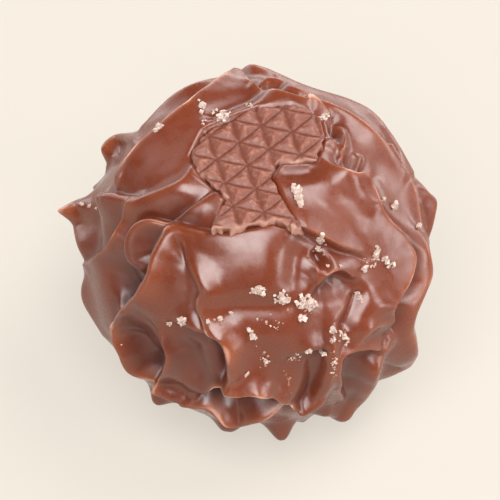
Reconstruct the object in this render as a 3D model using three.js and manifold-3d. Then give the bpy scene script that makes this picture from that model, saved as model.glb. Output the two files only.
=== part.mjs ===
// A hand-rolled milk chocolate truffle. The coating was dragged over a rack while it set, so it stands up
// in folds, lips and spikes round smooth hollows. A broken chip of embossed chocolate lies on the crown,
// and salt is scattered over the front. Millimetres, +Z up, origin at the middle of the flat spot that it
// stands on.
import * as THREE from "three";
import { mergeVertices } from "three/addons/utils/BufferGeometryUtils.js";
import Module from "manifold-3d";

const wasm = await Module();
wasm.setup();

const { clamp, degToRad, lerp, smoothstep } = THREE.MathUtils;

// The ball of coating, between its folds
const BALL_RADIUS = 14;
const BALL_CENTRE = 12.9; // height of the ball's middle over the flat spot
const BALL_DETAIL = 20; // splits of each edge of the icosahedron that the coating starts from
const FOLD_BLEND = 4; // how firmly the highest of two crossing folds wins
const DEEPEST_HOLLOW = 2.8; // depth that hollows come near to where several meet
const CREST_STEPS = 5; // straight steps between two points of a crest
const VERTEX_PULL = 0.55; // share by which vertices beside a crest move onto it
const VERTEX_PULL_REACH = 0.8;
const SKIN_ROUNDS = 4; // rounds that settle the height of the skin at a place on the face
const MERGE_DISTANCE = 1e-5; // corners closer than this are one
const SMALLEST_WEIGHT = 1e-9; // keeps a quotient finite where no fold reaches

// The face is the side that shows: a disc of the ball seen from the front, looking down at this angle. Places
// on it are given as right and up from the ball's middle.
const FACE_ELEVATION = degToRad(50);
const FACE_RIGHT = new THREE.Vector3(1, 0, 0);
const FACE_UP = new THREE.Vector3(0, Math.sin(FACE_ELEVATION), Math.cos(FACE_ELEVATION));
const FACE_OUT = new THREE.Vector3(0, -Math.cos(FACE_ELEVATION), Math.sin(FACE_ELEVATION));

// A fold that says no more than its crest and flanks
const PLAIN_FOLD = {
  lean: 0, // how far it tips to the left of someone who walks along its crest
  drop: 0, // depth of the hollow beside its steeper flank
  hollow: 1.5, // width of that hollow
  rounding: 0.22, // how round its top is
  wall: 0.6, // width of the step down to the hollow
};

// Folds on the face. Each crest point is right, up and height over the ball. The flanks are how far the fold
// falls away on the left and on the right of someone who walks along the crest.
const FACE_FOLDS = {
  back_shoulder: {
    crest: [[-11.8, 5.4, 0.8], [-11.3, 7, 1.1], [-9.6, 9.1, 1.3], [-6, 12.3, 1.4], [-2.8, 14.8, 1.5],
      [-1.7, 15.5, 1.7]],
    flanks: [0.7, 2],
    lean: 0.2,
    drop: 0.9,
  },
  shoulder_twin: { crest: [[-11.7, 5.3, 0.7], [-10.9, 6.2, 0.6], [-10.1, 7.1, 0.3]], flanks: [0.4, 0.4] },
  back_left_rim: {
    crest: [[-2.6, 15, 1.2], [-5, 14.3, 1.3], [-7.2, 13, 1.1], [-9.4, 10.8, 0.5]],
    flanks: [1, 0.8],
    rounding: 0.3,
  },
  back_left_curl: {
    crest: [[-10.2, 9.6, 0.4], [-11.8, 9.9, 1.1], [-12.9, 8.9, 1.4], [-12.4, 7.6, 0.5]],
    flanks: [0.5, 0.6],
    drop: 0.4,
    hollow: 0.8,
    rounding: 0.5,
  },
  crown_rim: {
    crest: [[-1.8, 15.6, 1.7], [-0.6, 15.9, 1.9], [0.6, 15.6, 1.6], [1.8, 15.1, 1.2], [4.3, 14, 0.7],
      [9, 12.4, 1.3], [11.2, 10.2, 1.2], [13.1, 7, 0.9]],
    flanks: [1.4, 1.2],
    rounding: 0.4,
  },
  crown_crest: {
    crest: [[-1.6, 15.2, 1.3], [0.2, 14.1, 1.1], [4.2, 12.9, 1.1], [4.7, 13.1, 1.2], [6.4, 11.2, 0.7]],
    flanks: [0.4, 1.1],
    lean: 0.2,
    drop: 0.8,
    hollow: 0.8,
  },
  crown_slit: {
    crest: [[0.2, 14.2, 0.9], [1.3, 14.7, 1.1], [3.3, 13.9, 1.1], [6, 12.7, 1.2], [9, 10.9, 1.3],
      [10.6, 9.3, 1.3], [12.4, 6.9, 1]],
    flanks: [0.6, 0.9],
    drop: 0.9,
    hollow: 0.8,
    rounding: 0.7,
  },
  upper_left: {
    crest: [[-4.9, 7.2, 0.7], [-6.1, 5.8, 1.1], [-7.8, 5, 1.2], [-9.5, 4.3, 1.2], [-11, 4.2, 1.2],
      [-12.6, 4.6, 1.5], [-13.3, 4.7, 1.7]],
    flanks: [0.7, 0.5],
    lean: -0.2,
    drop: 1.3,
    hollow: 1,
    rounding: 1,
  },
  left_spike: { crest: [[-13.8, 4.9, 0.5], [-15, 4.5, 1.3], [-16.5, 3.65, 2.9]], flanks: [0.5, 0.5] },
  middle_left: {
    crest: [[-3.4, 4.6, 0.5], [-5.6, 3.3, 1], [-7.6, 2.2, 1.1], [-9.3, 2.5, 1.2], [-10.4, 1.5, 1.1],
      [-10.8, -0.2, 0.9], [-10, -1, 0.5]],
    flanks: [0.7, 0.5],
    lean: -0.2,
    drop: 1.2,
    hollow: 0.9,
    rounding: 0.7,
  },
  great_lip: {
    crest: [[-4.6, 1.1, 0.5], [-7, 1.5, 1.1], [-8.2, 0, 1.4], [-8.8, -2, 1.6], [-10, -4, 1.7],
      [-11.2, -5, 1.8], [-12, -6.2, 1.8]],
    flanks: [0.6, 0.4],
    lean: -0.2,
    drop: 1.9,
    hollow: 2,
    rounding: 1.1,
  },
  lower_lip: {
    crest: [[-11.2, -5, 1.6], [-12.1, -6.4, 1.7], [-11.6, -8.3, 1.7], [-10.3, -10.4, 1.6],
      [-7.2, -12.2, 1.1]],
    flanks: [0.45, 0.7],
    lean: -0.2,
    drop: 1,
    hollow: 1.6,
    rounding: 0.4,
  },
  left_hollow_rim: {
    crest: [[-10.9, 3, 0.6], [-12, 1.4, 0.9], [-13.2, 0, 0.9], [-14.4, -0.9, 0.7]],
    flanks: [0.8, 0.5],
    drop: 0.7,
  },
  left_outline: {
    crest: [[-14.9, 4.2, 1.5], [-15.2, 2.6, 1.4], [-14.9, 0.4, 1], [-14.3, -1.6, 0.5], [-14.5, -3.8, 1],
      [-12.9, -6.6, 0.5]],
    flanks: [1, 1],
    rounding: 0.4,
  },
  left_rim: {
    crest: [[-12.2, -3.9, 0.4], [-12.25, -5.1, 0.8], [-12, -6, 1.2]],
    flanks: [0.5, 0.6],
    drop: 0.4,
  },
  bowl_bar: {
    crest: [[-7.4, -8.3, 0.3], [-6.5, -8.45, 0.4], [-5.6, -8.2, 0.1]],
    flanks: [0.5, 0.5],
    rounding: 0.5,
  },
  lower_left: {
    crest: [[-8, -6.8, 0.3], [-7.7, -8.5, 1], [-7.6, -9.5, 1.2], [-8, -10.6, 1.2], [-8.5, -11.4, 1.1]],
    flanks: [0.6, 0.4],
    lean: -0.15,
    drop: 1.2,
    hollow: 1.4,
  },
  dome_rim: {
    crest: [[-5.4, 0.6, 0.5], [-5, -0.8, 0.8], [-4.5, -2, 1], [-4.1, -3.2, 1.1], [-4.4, -4.5, 1],
      [-3.8, -5.8, 1], [-3, -6.8, 1.2]],
    flanks: [0.6, 0.4],
    lean: -0.1,
    drop: 1.6,
    hollow: 0.8,
    rounding: 0.8,
  },
  lower_middle: {
    crest: [[-6, -5.5, 0.4], [-5, -5.9, 0.7], [-4, -6.3, 1.1], [-2.8, -6.9, 1.4], [-2.2, -7.9, 1.6],
      [-2, -9.2, 1.7], [-1.8, -10.4, 1.4], [-2.1, -11.5, 0.8]],
    flanks: [0.5, 0.35],
    lean: -0.3,
    drop: 2.1,
    rounding: 0.8,
  },
  bottom_ledge: {
    crest: [[-4.6, -12, 0.9], [-3.4, -11.9, 1.8], [-2.4, -11.9, 1.9], [-1.2, -11.8, 1.7], [0.1, -11.7, 1.7],
      [1.2, -12.1, 1.6], [2.4, -12.6, 1.5], [3.4, -12.9, 1]],
    flanks: [1.2, 0.4],
    drop: 3,
    hollow: 1.6,
  },
  bottom_rim: {
    crest: [[-6.2, -12.6, 0.9], [-4.4, -13.3, 1.3], [-3.2, -14, 1.5], [-2.4, -14.4, 1.5], [-1.4, -14.3, 1.2],
      [-0.4, -14.1, 1.3], [1, -13.8, 1.5], [2.9, -13.3, 1.5], [4, -13.2, 1.1], [5.3, -12.4, 0.9]],
    flanks: [0.5, 0.9],
    drop: 0.3,
  },
  lower_loop: {
    crest: [[6.3, -5.6, 0.2], [6.4, -7, 0.6], [6.4, -8.6, 1], [6.3, -10, 1.1], [6, -11.4, 1.1],
      [5.2, -12.6, 1.1], [4, -13.2, 1.1]],
    flanks: [0.6, 0.4],
    drop: 0.6,
    rounding: 0.6,
  },
  loop_brow: {
    crest: [[3.4, -8, 0.4], [4.4, -7.8, 0.7], [5.4, -7.9, 0.8]],
    flanks: [0.9, 0.4],
    lean: -0.1,
    drop: 0.7,
    hollow: 1.1,
    rounding: 0.4,
  },
  pocket_rim: {
    crest: [[7.2, -12.2, 0.5], [7, -11.2, 0.9], [6.95, -9.9, 1], [7, -8.8, 0.9], [7.6, -8.2, 0.8],
      [9.1, -7.9, 0.8], [10.3, -7.9, 0.9]],
    flanks: [0.6, 0.35],
    drop: 0.6,
    hollow: 1.6,
  },
  pocket_right: {
    crest: [[11.2, -7.4, 0.8], [10.2, -10, 1.6], [9.6, -11.5, 1.4], [8.5, -12.8, 1.4], [7, -13.3, 1]],
    flanks: [0.8, 0.5],
    drop: 0.6,
    hollow: 0.8,
    rounding: 0.9,
  },
  right_rim: {
    crest: [[9.1, 6.5, 1.3], [9.6, 5.3, 1], [10.3, 3.5, 1], [12.4, 1, 1.2], [13.05, -0.4, 1.4],
      [12.6, -2.2, 1.3], [11.3, -4.2, 1.2], [11.2, -5.6, 0.9]],
    flanks: [0.5, 1.6],
    lean: 0.25,
    drop: 1.2,
    hollow: 1.3,
  },
  right_ledge: {
    crest: [[5.2, 8, 0.5], [6.7, 6.9, 1], [8.1, 6.4, 1.2], [9.1, 6.5, 1.3]],
    flanks: [0.4, 1.6],
    lean: 0.2,
    drop: 1.2,
    hollow: 1.2,
  },
  right_arm: { crest: [[8.8, 8.1, 0.7], [8.9, 7.2, 0.9], [9.1, 6.5, 1.3]], flanks: [0.4, 0.5] },
  right_flange: {
    crest: [[11.2, -5.6, 0.9], [9.5, -6, 0.7], [8.3, -7.4, 0.6]],
    flanks: [0.8, 0.8],
    rounding: 0.3,
  },
  outer_right: {
    crest: [[11.3, 9.2, 0.9], [13, 6, 1], [13.7, 2.8, 0.9], [14, 0.1, 0.7]],
    flanks: [0.5, 0.9],
    lean: 0.1,
    drop: 0.8,
    hollow: 1,
  },
  right_spike: {
    crest: [[13.4, 6.2, 0.7], [14.3, 5.3, 1.3], [15.1, 4.2, 1.7], [14.4, 1.3, 0.5]],
    flanks: [0.7, 0.6],
    rounding: 0.3,
  },
  right_outline: {
    crest: [[14.3, 1, 1.2], [14.4, 0.3, 1.6], [14.6, -1.6, 1.8], [14, -3.4, 1.6], [13.3, -5, 1.4],
      [13, -6.6, 1.4], [13.4, -8.3, 2], [12.6, -9.6, 1.8], [10.4, -10.4, 0.8]],
    flanks: [0.8, 1.2],
    rounding: 0.9,
  },
  pocket_step: {
    crest: [[5, -2.4, 0.5], [5.8, -1.5, 0.9], [7, -1, 0.9], [8.1, -1.6, 0.4]],
    flanks: [1, 0.35],
    lean: -0.3,
    drop: 0.9,
    hollow: 1.4,
    wall: 0.9,
  },
  small_tongue: { crest: [[4.9, 0.6, 0.2], [5.1, -0.9, 0.7], [4.9, -2.4, 0.4]], flanks: [0.4, 0.4] },
  slanting_step: {
    crest: [[4, 2.1, 0.8], [5.2, 1.6, 0.8], [7, 0.8, 0.7], [8.6, 0.1, 0.3]],
    flanks: [1.6, 0.5],
    drop: 0.8,
    hollow: 0.9,
  },
  rumple: {
    crest: [[6.4, 11.1, 0.6], [7.2, 10.5, 0.8], [7.4, 9.5, 0.8], [7.2, 8.1, 0.5]],
    flanks: [0.4, 0.35],
    drop: 0.5,
    hollow: 0.6,
  },
  small_rumple: { crest: [[5.9, 9.4, 0.4], [6.6, 9.3, 0.6], [7, 8.7, 0.5]], flanks: [0.3, 0.3] },
};

// Round swellings and hollows of the face: the line that each runs along, its rise and its radius
const FACE_SWELLS = {
  middle_dome: { along: [[-1.4, -0.8], [0.2, -0.8]], rise: 0.95, radius: 3.5 },
  chip_bed: { along: [[-2.6, 2], [2.6, 2]], rise: 0.6, radius: 1.8 },
  behind_chip: { along: [[-3.6, 11.4], [0.2, 13]], rise: -0.6, radius: 0.9 },
  dome_shadow: { along: [[3.4, -0.4], [3.3, -2]], rise: -0.7, radius: 1.3 },
  under_dome: { along: [[-1.6, -4.2], [2.4, -4.1]], rise: -0.3, radius: 0.9 },
  left_hollow: { along: [[-11.4, -1.8], [-11.2, -2.8]], rise: -1.3, radius: 2 },
  shiny_left_hollow: { along: [[-13.2, 2.8], [-13.4, 1.4]], rise: -0.5, radius: 1.3 },
  lower_left_dish: { along: [[-9.6, -6.9], [-8.6, -8.9]], rise: -1, radius: 1.5 },
  lower_hollow: { along: [[-5.6, -8.4], [-4.6, -10]], rise: -1.2, radius: 1.9 },
  ledge_hollow: { along: [[-2.8, -11.5], [1, -11.6]], rise: -1.6, radius: 1.2 },
  loop_hollow: { along: [[4.6, -9.6], [4.4, -11]], rise: -0.35, radius: 1.3 },
  pocket: { along: [[8.2, -8.9], [7.8, -10.4]], rise: -0.8, radius: 1.2 },
  under_loop: { along: [[5.6, -12.7], [6.7, -12.4]], rise: 0.8, radius: 0.9 },
  valley: { along: [[8.3, -3.4], [7.2, -5.8]], rise: -0.6, radius: 0.5 },
  right_bulge: { along: [[9.4, -4.2], [8.6, -5.6]], rise: 0.5, radius: 1.4 },
  step_hollow: { along: [[5.6, -3], [7.2, -2.8]], rise: -0.5, radius: 1.2 },
  step_pit: { along: [[5, -0.1], [5.2, -0.5]], rise: -1.2, radius: 0.5 },
  ledge_pit: { along: [[7.2, 7.5], [8.4, 7.4]], rise: -0.4, radius: 0.9 },
  ledge_streak: { along: [[6.9, 6], [9, 3.8]], rise: 0.35, radius: 0.9 },
  rumple_pit: { along: [[6.2, 10.6], [6.4, 10]], rise: -0.7, radius: 0.5 },
  slit: { along: [[0.6, 13.4], [1.7, 13.3]], rise: -0.7, radius: 0.5 },
  under_chip_corner: { along: [[2.6, 6.8], [4.4, 6.8]], rise: -0.5, radius: 1 },
  left_knob: { along: [[-8.6, -12.7], [-8.6, -12.9]], rise: 1.1, radius: 0.9 },
  bottom_knob: { along: [[-2.6, -14.8], [-2.2, -14.8]], rise: 1, radius: 1 },
  bottom_spike: { along: [[2, -14.8], [2.2, -15]], rise: 1.4, radius: 0.9 },
};

// Folds of the hidden side: a loose net of crests between evenly scattered peaks
const NET_PEAKS = 96;
const NET_SEED = 20;
const NET_STRIDES = [8, 13]; // steps along the spiral of peaks that reach two neighbours
const NET_SHARE = 0.72; // share of the net's crests that are there
const NET_JITTER = 1.5;
const NET_BEND = 1.3;
const NET_PEAK_HEIGHTS = [0.5, 1.7];
const NET_SADDLE = 0.62; // height of a crest between its peaks, as a share of theirs
const NET_FLANKS = [0.45, 1.8];
const NET_DROP = 0.7; // depth of the hollow beside a crest, for each millimetre that its flanks differ
const NET_OUTLINE = 0.5; // how far a peak may stand out of the face's disc
const NET_FACE_EDGE = -0.04; // peaks further out of the face than this belong to the face
const NET_LOWEST = -0.78; // peaks below this are in the flat spot

// The chip of embossed chocolate, a flat plate
const CHIP_TOP = 13.2; // grooves of its pattern, over the ball's middle
const CHIP_THICKNESS = 0.9;
const CHIP_PITCH = 2.6; // side of the triangles of the pattern
const CHIP_TURN = degToRad(-15);
const CHIP_RELIEF = 0.52;
const CHIP_PATTERN_AT = [-1.4, 9.15]; // one corner of the pattern, on the face
const CHIP_PATTERN_REACH = 6; // triangles each way from that corner
const CHIP_GAP = 0.3;
const CHIP_OUTLINE = [
  [-5.4, 8.2], [-4.2, 9.9], [-2, 11], [0.3, 12], [2.9, 12.3], [4.3, 11.8], [5.3, 11.1], [5.6, 9.5],
  [4.9, 7.7], [1.9, 7.5], [1.1, 6.3], [2, 4.6], [3.7, 2.1], [1.4, 2.7], [-1.2, 2.2], [-3.7, 2.1],
  [-3, 3.5], [-2.3, 4.5], [-4.7, 6.6],
];

// Salt: each pile is right, up, length, width, heading in degrees, how many crystals and their size
const SALT_PILES = [
  [0.3, -3, 1.4, 0.4, -5, 6, 0.42], [2.2, -3.6, 1.1, 0.9, 0, 7, 0.46], [4.2, -4.1, 1.5, 0.9, -50, 9, 0.46],
  [3.7, -5.2, 0.4, 0.2, -40, 2, 0.36], [3.4, 4.9, 1.5, 0.4, -75, 6, 0.46], [5.2, 1.2, 0.6, 0.3, 70, 3, 0.4],
  [5.1, 0.4, 0.5, 0.2, 20, 2, 0.34], [6.2, -6.2, 0.6, 0.3, 80, 3, 0.4], [6.3, -7, 0.5, 0.1, 80, 2, 0.32],
  [7.2, -6.7, 0.8, 0.2, -50, 3, 0.34], [9.85, 0, 0.9, 0.3, 85, 4, 0.4], [10.8, -0.8, 0.9, 0.2, -40, 3, 0.42],
  [8.9, -1.3, 0.5, 0.3, 60, 2, 0.44], [8.5, -3.6, 0.7, 0.1, -70, 2, 0.36], [5.8, -0.8, 0, 0, 0, 1, 0.34],
  [6.9, -0.7, 0, 0, 0, 1, 0.32], [11.4, 3.9, 0.5, 0.2, -30, 2, 0.44], [10.4, 4.5, 0, 0, 0, 1, 0.4],
  [13.3, 2.3, 0, 0, 0, 1, 0.4], [4.25, -7.9, 0.3, 0.1, 0, 2, 0.36], [5.4, -8.05, 0.6, 0.1, -20, 2, 0.34],
  [-0.4, -6.5, 0.7, 0.2, -60, 3, 0.4], [-2, -4.9, 0, 0, 0, 1, 0.44], [-2.9, -5.2, 0, 0, 0, 1, 0.34],
  [-3.8, -5.5, 0, 0, 0, 1, 0.34], [-5.9, -5.2, 0, 0, 0, 1, 0.48], [-7, -5.7, 0, 0, 0, 1, 0.34],
  [-4.45, 12.1, 0.7, 0.1, 85, 2, 0.44], [-2.6, 11.3, 1, 0.3, 32, 4, 0.44],
  [-7.9, 10.4, 0.6, 0.1, 50, 2, 0.38], [5.5, 11.2, 0.5, 0.2, -30, 3, 0.42],
];
const SALT_SEED = 7;
const SALT_SINK = 0.12; // how far a crystal's middle sits below the coating's skin, as a share of its size
const SALT_SIZES = [0.8, 1.3]; // smallest and largest crystal of a pile, as shares of the pile's size
const SALT_STRETCHES = [[0.8, 1.3], [0.8, 1.2], [0.7, 1.1]]; // the same, along each axis of a crystal

const COATING_COLOUR = 0x8f5443;
const COATING_ROUGHNESS = 0.35;
const CHIP_COLOUR = 0x96583f;
const CHIP_ROUGHNESS = 0.5;

// Seeded draws, evenly spread from 0 to 1
function seededDraws(seed) {
  let state = seed >>> 0;
  return () => {
    state = (Math.imul(1664525, state) + 1013904223) >>> 0;
    return state / 2 ** 32;
  };
}

// The point over the face at a place and a height over the ball, measured from the ball's middle
function facePoint(right, up, height = 0) {
  const radius = BALL_RADIUS + height;
  const out = Math.sqrt(Math.max(0, radius ** 2 - right ** 2 - up ** 2));
  return new THREE.Vector3()
    .addScaledVector(FACE_RIGHT, right)
    .addScaledVector(FACE_UP, up)
    .addScaledVector(FACE_OUT, out);
}

// A fold ready for measuring: its crest as directions from the ball's middle, each with a height
function makeFold(points, shape) {
  const curve = new THREE.CatmullRomCurve3(points, false, "catmullrom");
  const samples = curve.getPoints((points.length - 1) * CREST_STEPS);
  const directions = samples.map((sample) => sample.clone().normalize());
  const heights = samples.map((sample) => sample.length() - BALL_RADIUS);
  const tallest = Math.max(...heights);
  const steepSide = shape.flanks[0] < shape.flanks[1] ? 1 : -1;
  return { ...PLAIN_FOLD, ...shape, directions, heights, tallest, steepSide };
}

// The peaks of the hidden net, on a spiral that spreads them evenly over the ball
function netPeaks(draw) {
  const goldenAngle = Math.PI * (3 - Math.sqrt(5));
  return Array.from({ length: NET_PEAKS }, (_, index) => {
    const z = 1 - (2 * index + 1) / NET_PEAKS;
    const ring = Math.sqrt(1 - z * z);
    const turn = goldenAngle * index;
    const peak = new THREE.Vector3(ring * Math.cos(turn), ring * Math.sin(turn), z);
    const jitter = new THREE.Vector3(draw() - 0.5, draw() - 0.5, draw() - 0.5);
    peak.multiplyScalar(BALL_RADIUS).addScaledVector(jitter, 2 * NET_JITTER).normalize();
    const height = lerp(...NET_PEAK_HEIGHTS, draw() ** 2);
    const behind = Math.sqrt(Math.max(SMALLEST_WEIGHT, 1 - peak.dot(FACE_OUT) ** 2));
    const tallest = (BALL_RADIUS + NET_OUTLINE) / behind - BALL_RADIUS;
    return peak.setLength(BALL_RADIUS + Math.min(height, tallest));
  });
}

// The crests of the hidden net, from peak to peak over a lower saddle that bends to one side
function netFolds() {
  const draw = seededDraws(NET_SEED);
  const peaks = netPeaks(draw);
  const hidden = peaks.map((peak) => {
    const direction = peak.clone().normalize();
    return direction.dot(FACE_OUT) < NET_FACE_EDGE && direction.z > NET_LOWEST;
  });
  const folds = [];
  for (const stride of NET_STRIDES) {
    for (let index = 0; index + stride < NET_PEAKS; index += 1) {
      const [present, bend, left, right] = [draw(), draw(), draw(), draw()];
      if (present > NET_SHARE || !hidden[index] || !hidden[index + stride]) continue;
      const [start, end] = [peaks[index], peaks[index + stride]];
      const sideways = new THREE.Vector3().crossVectors(start, end).normalize();
      const saddle = start.clone().add(end).addScaledVector(sideways, (bend - 0.5) * 4 * NET_BEND);
      const height = (start.length() + end.length()) / 2 - BALL_RADIUS;
      saddle.setLength(BALL_RADIUS + NET_SADDLE * height);
      const flanks = [left, right].map((share) => lerp(...NET_FLANKS, share));
      const drop = NET_DROP * Math.abs(flanks[0] - flanks[1]);
      folds.push(makeFold([start, saddle, end], { flanks, drop }));
    }
  }
  return folds;
}

const faceFolds = Object.values(FACE_FOLDS).map(({ crest, ...shape }) =>
  makeFold(crest.map((place) => facePoint(...place)), shape));
const folds = [...faceFolds, ...netFolds()];
const swells = Object.values(FACE_SWELLS).map(({ along, rise, radius }) => ({
  line: new THREE.Line3(...along.map((place) => facePoint(...place).normalize())),
  rise,
  radius,
}));

// Where a direction lies against a crest: the nearest crest point, the way there, its height and its left
function nearestOnCrest({ directions, heights }, direction) {
  const segment = new THREE.Line3();
  const foot = new THREE.Vector3();
  let nearest = { gap: Infinity };
  for (let index = 0; index + 1 < directions.length; index += 1) {
    segment.set(directions[index], directions[index + 1]);
    const share = segment.closestPointToPointParameter(direction, true);
    const gap = segment.at(share, foot).distanceTo(direction) * BALL_RADIUS;
    if (gap < nearest.gap) {
      const height = lerp(heights[index], heights[index + 1], share);
      nearest = { gap, height, index, foot: foot.clone() };
    }
  }
  const tangent = directions[nearest.index + 1].clone().sub(directions[nearest.index]);
  nearest.left = new THREE.Vector3().crossVectors(nearest.foot, tangent).normalize();
  nearest.toLeft = direction.clone().sub(nearest.foot).normalize().dot(nearest.left);
  return nearest;
}

// Depth of the hollow beside a fold's steeper flank
function hollowBeside({ drop, hollow, rounding, wall, steepSide, tallest }, { gap, height, toLeft }) {
  const sunk = smoothstep(gap * toLeft * steepSide - rounding / 2, 0, wall);
  return drop * clamp(height / tallest, 0, 1) * sunk * Math.exp(-((gap / hollow) ** 2));
}

// Height of the folds over the ball in one direction, how far they tip there, and the crest nearest to it
function foldsAt(direction) {
  let total = 0;
  let depth = 0;
  let closest = { gap: Infinity };
  const tip = new THREE.Vector3();
  for (const fold of folds) {
    const nearest = nearestOnCrest(fold, direction);
    if (nearest.gap < closest.gap) closest = nearest;
    const flank = lerp(fold.flanks[1], fold.flanks[0], (1 + nearest.toLeft) / 2);
    const fall = Math.exp((fold.rounding - Math.hypot(nearest.gap, fold.rounding)) / flank);
    const weight = (Math.max(0, nearest.height) * fall) ** FOLD_BLEND;
    total += weight;
    depth += hollowBeside(fold, nearest);
    tip.addScaledVector(nearest.left, weight * fold.lean * fall * fall);
  }
  const hollow = DEEPEST_HOLLOW * Math.tanh(depth / DEEPEST_HOLLOW);
  tip.divideScalar(Math.max(total, SMALLEST_WEIGHT));
  return { height: total ** (1 / FOLD_BLEND) - hollow, tip, closest };
}

// Rise of the round swellings and hollows in one direction
function swellAt(direction) {
  const foot = new THREE.Vector3();
  return swells.reduce((sum, { line, rise, radius }) => {
    const gap = line.closestPointToPoint(direction, true, foot).distanceTo(direction) * BALL_RADIUS;
    return sum + rise * Math.exp(-((gap / radius) ** 2));
  }, 0);
}

// The coating's skin in one direction from the ball's middle, cut off level by the flat spot
function coatingPoint(direction) {
  const { height, tip } = foldsAt(direction);
  const point = direction.clone().multiplyScalar(BALL_RADIUS + height + swellAt(direction)).add(tip);
  if (point.z < -BALL_CENTRE) point.multiplyScalar(-BALL_CENTRE / point.z);
  return point;
}

// A direction moved towards the nearest crest, so that crests run along edges of the mesh
function drawnToCrest(direction) {
  const { closest } = foldsAt(direction);
  const share = VERTEX_PULL * Math.exp(-((closest.gap / VERTEX_PULL_REACH) ** 2));
  return direction.clone().lerp(closest.foot, share).normalize();
}

// The coating's skin at a place on the face: the height is settled in a few rounds
function coatingAtFace(right, up) {
  let point = facePoint(right, up);
  for (let round = 0; round < SKIN_ROUNDS; round += 1) {
    const height = coatingPoint(point.normalize()).length() - BALL_RADIUS;
    point = facePoint(right, up, height);
  }
  return point;
}

// A geometry with only places, its shared corners merged
function bareGeometry(geometry) {
  geometry.deleteAttribute("normal");
  geometry.deleteAttribute("uv");
  return mergeVertices(geometry, MERGE_DISTANCE);
}

function solidFrom(geometry) {
  const bare = bareGeometry(geometry);
  const vertProperties = new Float32Array(bare.attributes.position.array);
  const triVerts = new Uint32Array(bare.index.array);
  return new wasm.Manifold(new wasm.Mesh({ numProp: 3, vertProperties, triVerts }));
}

function geometryFrom(solid) {
  const mesh = solid.getMesh();
  const geometry = new THREE.BufferGeometry();
  geometry.setAttribute("position", new THREE.BufferAttribute(new Float32Array(mesh.vertProperties), 3));
  geometry.setIndex(new THREE.BufferAttribute(new Uint32Array(mesh.triVerts), 1));
  geometry.computeVertexNormals();
  return geometry;
}

function coatingSolid() {
  const geometry = bareGeometry(new THREE.IcosahedronGeometry(1, BALL_DETAIL));
  const places = geometry.attributes.position;
  for (let index = 0; index < places.count; index += 1) {
    const direction = new THREE.Vector3().fromBufferAttribute(places, index).normalize();
    const point = coatingPoint(drawnToCrest(direction));
    places.setXYZ(index, point.x, point.y, point.z);
  }
  return solidFrom(geometry);
}

// Salt crystals, each a lumpy little solid half sunk in the coating
function saltCrystals() {
  const draw = seededDraws(SALT_SEED);
  const crystals = [];
  for (const [right, up, length, width, heading, count, size] of SALT_PILES) {
    const turn = degToRad(heading);
    for (let index = 0; index < count; index += 1) {
      const along = length * (draw() - 0.5);
      const across = width * (draw() - 0.5);
      const place = coatingAtFace(
        right + along * Math.cos(turn) - across * Math.sin(turn),
        up + along * Math.sin(turn) + across * Math.cos(turn),
      );
      place.setLength(place.length() - SALT_SINK * size);
      const crystal = new THREE.IcosahedronGeometry((size / 2) * lerp(...SALT_SIZES, draw()), 0);
      crystal.scale(...SALT_STRETCHES.map((stretch) => lerp(...stretch, draw())));
      crystal.rotateX(Math.PI * draw()).rotateY(Math.PI * draw()).rotateZ(Math.PI * draw());
      crystal.translate(place.x, place.y, place.z);
      crystals.push(solidFrom(crystal));
    }
  }
  return crystals;
}

// A place on the face laid level at the height of the chip's grooves
function chipPlace([right, up]) {
  const back = (up - CHIP_TOP * Math.cos(FACE_ELEVATION)) / Math.sin(FACE_ELEVATION);
  return new THREE.Vector2(right, back);
}

// The chip's outline, moved outwards by a distance
function chipOutline(grown) {
  const corners = CHIP_OUTLINE.map(chipPlace);
  return corners.map((corner, index) => {
    const before = corners[(index + corners.length - 1) % corners.length];
    const after = corners[(index + 1) % corners.length];
    const run = after.clone().sub(before).normalize();
    return new THREE.Vector2(-run.y, run.x).multiplyScalar(grown).add(corner);
  });
}

// An upright prism with the chip's outline, between two heights over the ball's middle
function chipPrism(grown, bottom, top) {
  const shape = new THREE.Shape(chipOutline(grown));
  const prism = new THREE.ExtrudeGeometry(shape, { depth: top - bottom, bevelEnabled: false });
  prism.translate(0, 0, bottom);
  return solidFrom(prism);
}

// A slab larger than the chip, whose top is a field of low three-sided pyramids with grooves between them
function embossedSlab() {
  const start = chipPlace(CHIP_PATTERN_AT);
  const rowTurn = CHIP_TURN + Math.PI / 3;
  const corner = (column, row, z) => new THREE.Vector3(
    start.x + CHIP_PITCH * (column * Math.cos(CHIP_TURN) + row * Math.cos(rowTurn)),
    start.y + CHIP_PITCH * (column * Math.sin(CHIP_TURN) + row * Math.sin(rowTurn)),
    z,
  );
  const bottom = CHIP_TOP - CHIP_THICKNESS;
  const triangles = [];
  const pyramid = (places) => {
    const [a, b, c] = places.map((place) => corner(...place, CHIP_TOP));
    const peak = a.clone().add(b).add(c).divideScalar(3);
    peak.z += CHIP_RELIEF;
    triangles.push(a, b, peak, b, c, peak, c, a, peak);
    triangles.push(...places.map((place) => corner(...place, bottom)).reverse());
  };
  const wall = (from, to) => {
    const [a, b] = [corner(...from, bottom), corner(...to, bottom)];
    const [c, d] = [corner(...to, CHIP_TOP), corner(...from, CHIP_TOP)];
    triangles.push(a, b, c, a, c, d);
  };
  const reach = CHIP_PATTERN_REACH;
  for (let step = -reach; step < reach; step += 1) {
    for (let row = -reach; row < reach; row += 1) {
      pyramid([[step, row], [step + 1, row], [step, row + 1]]);
      pyramid([[step + 1, row], [step + 1, row + 1], [step, row + 1]]);
    }
    wall([step, -reach], [step + 1, -reach]);
    wall([step + 1, reach], [step, reach]);
    wall([-reach, step + 1], [-reach, step]);
    wall([reach, step], [reach, step + 1]);
  }
  return solidFrom(new THREE.BufferGeometry().setFromPoints(triangles));
}

function largestPiece(solid) {
  return solid.decompose().reduce((largest, piece) => (piece.volume() > largest.volume() ? piece : largest));
}

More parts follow.
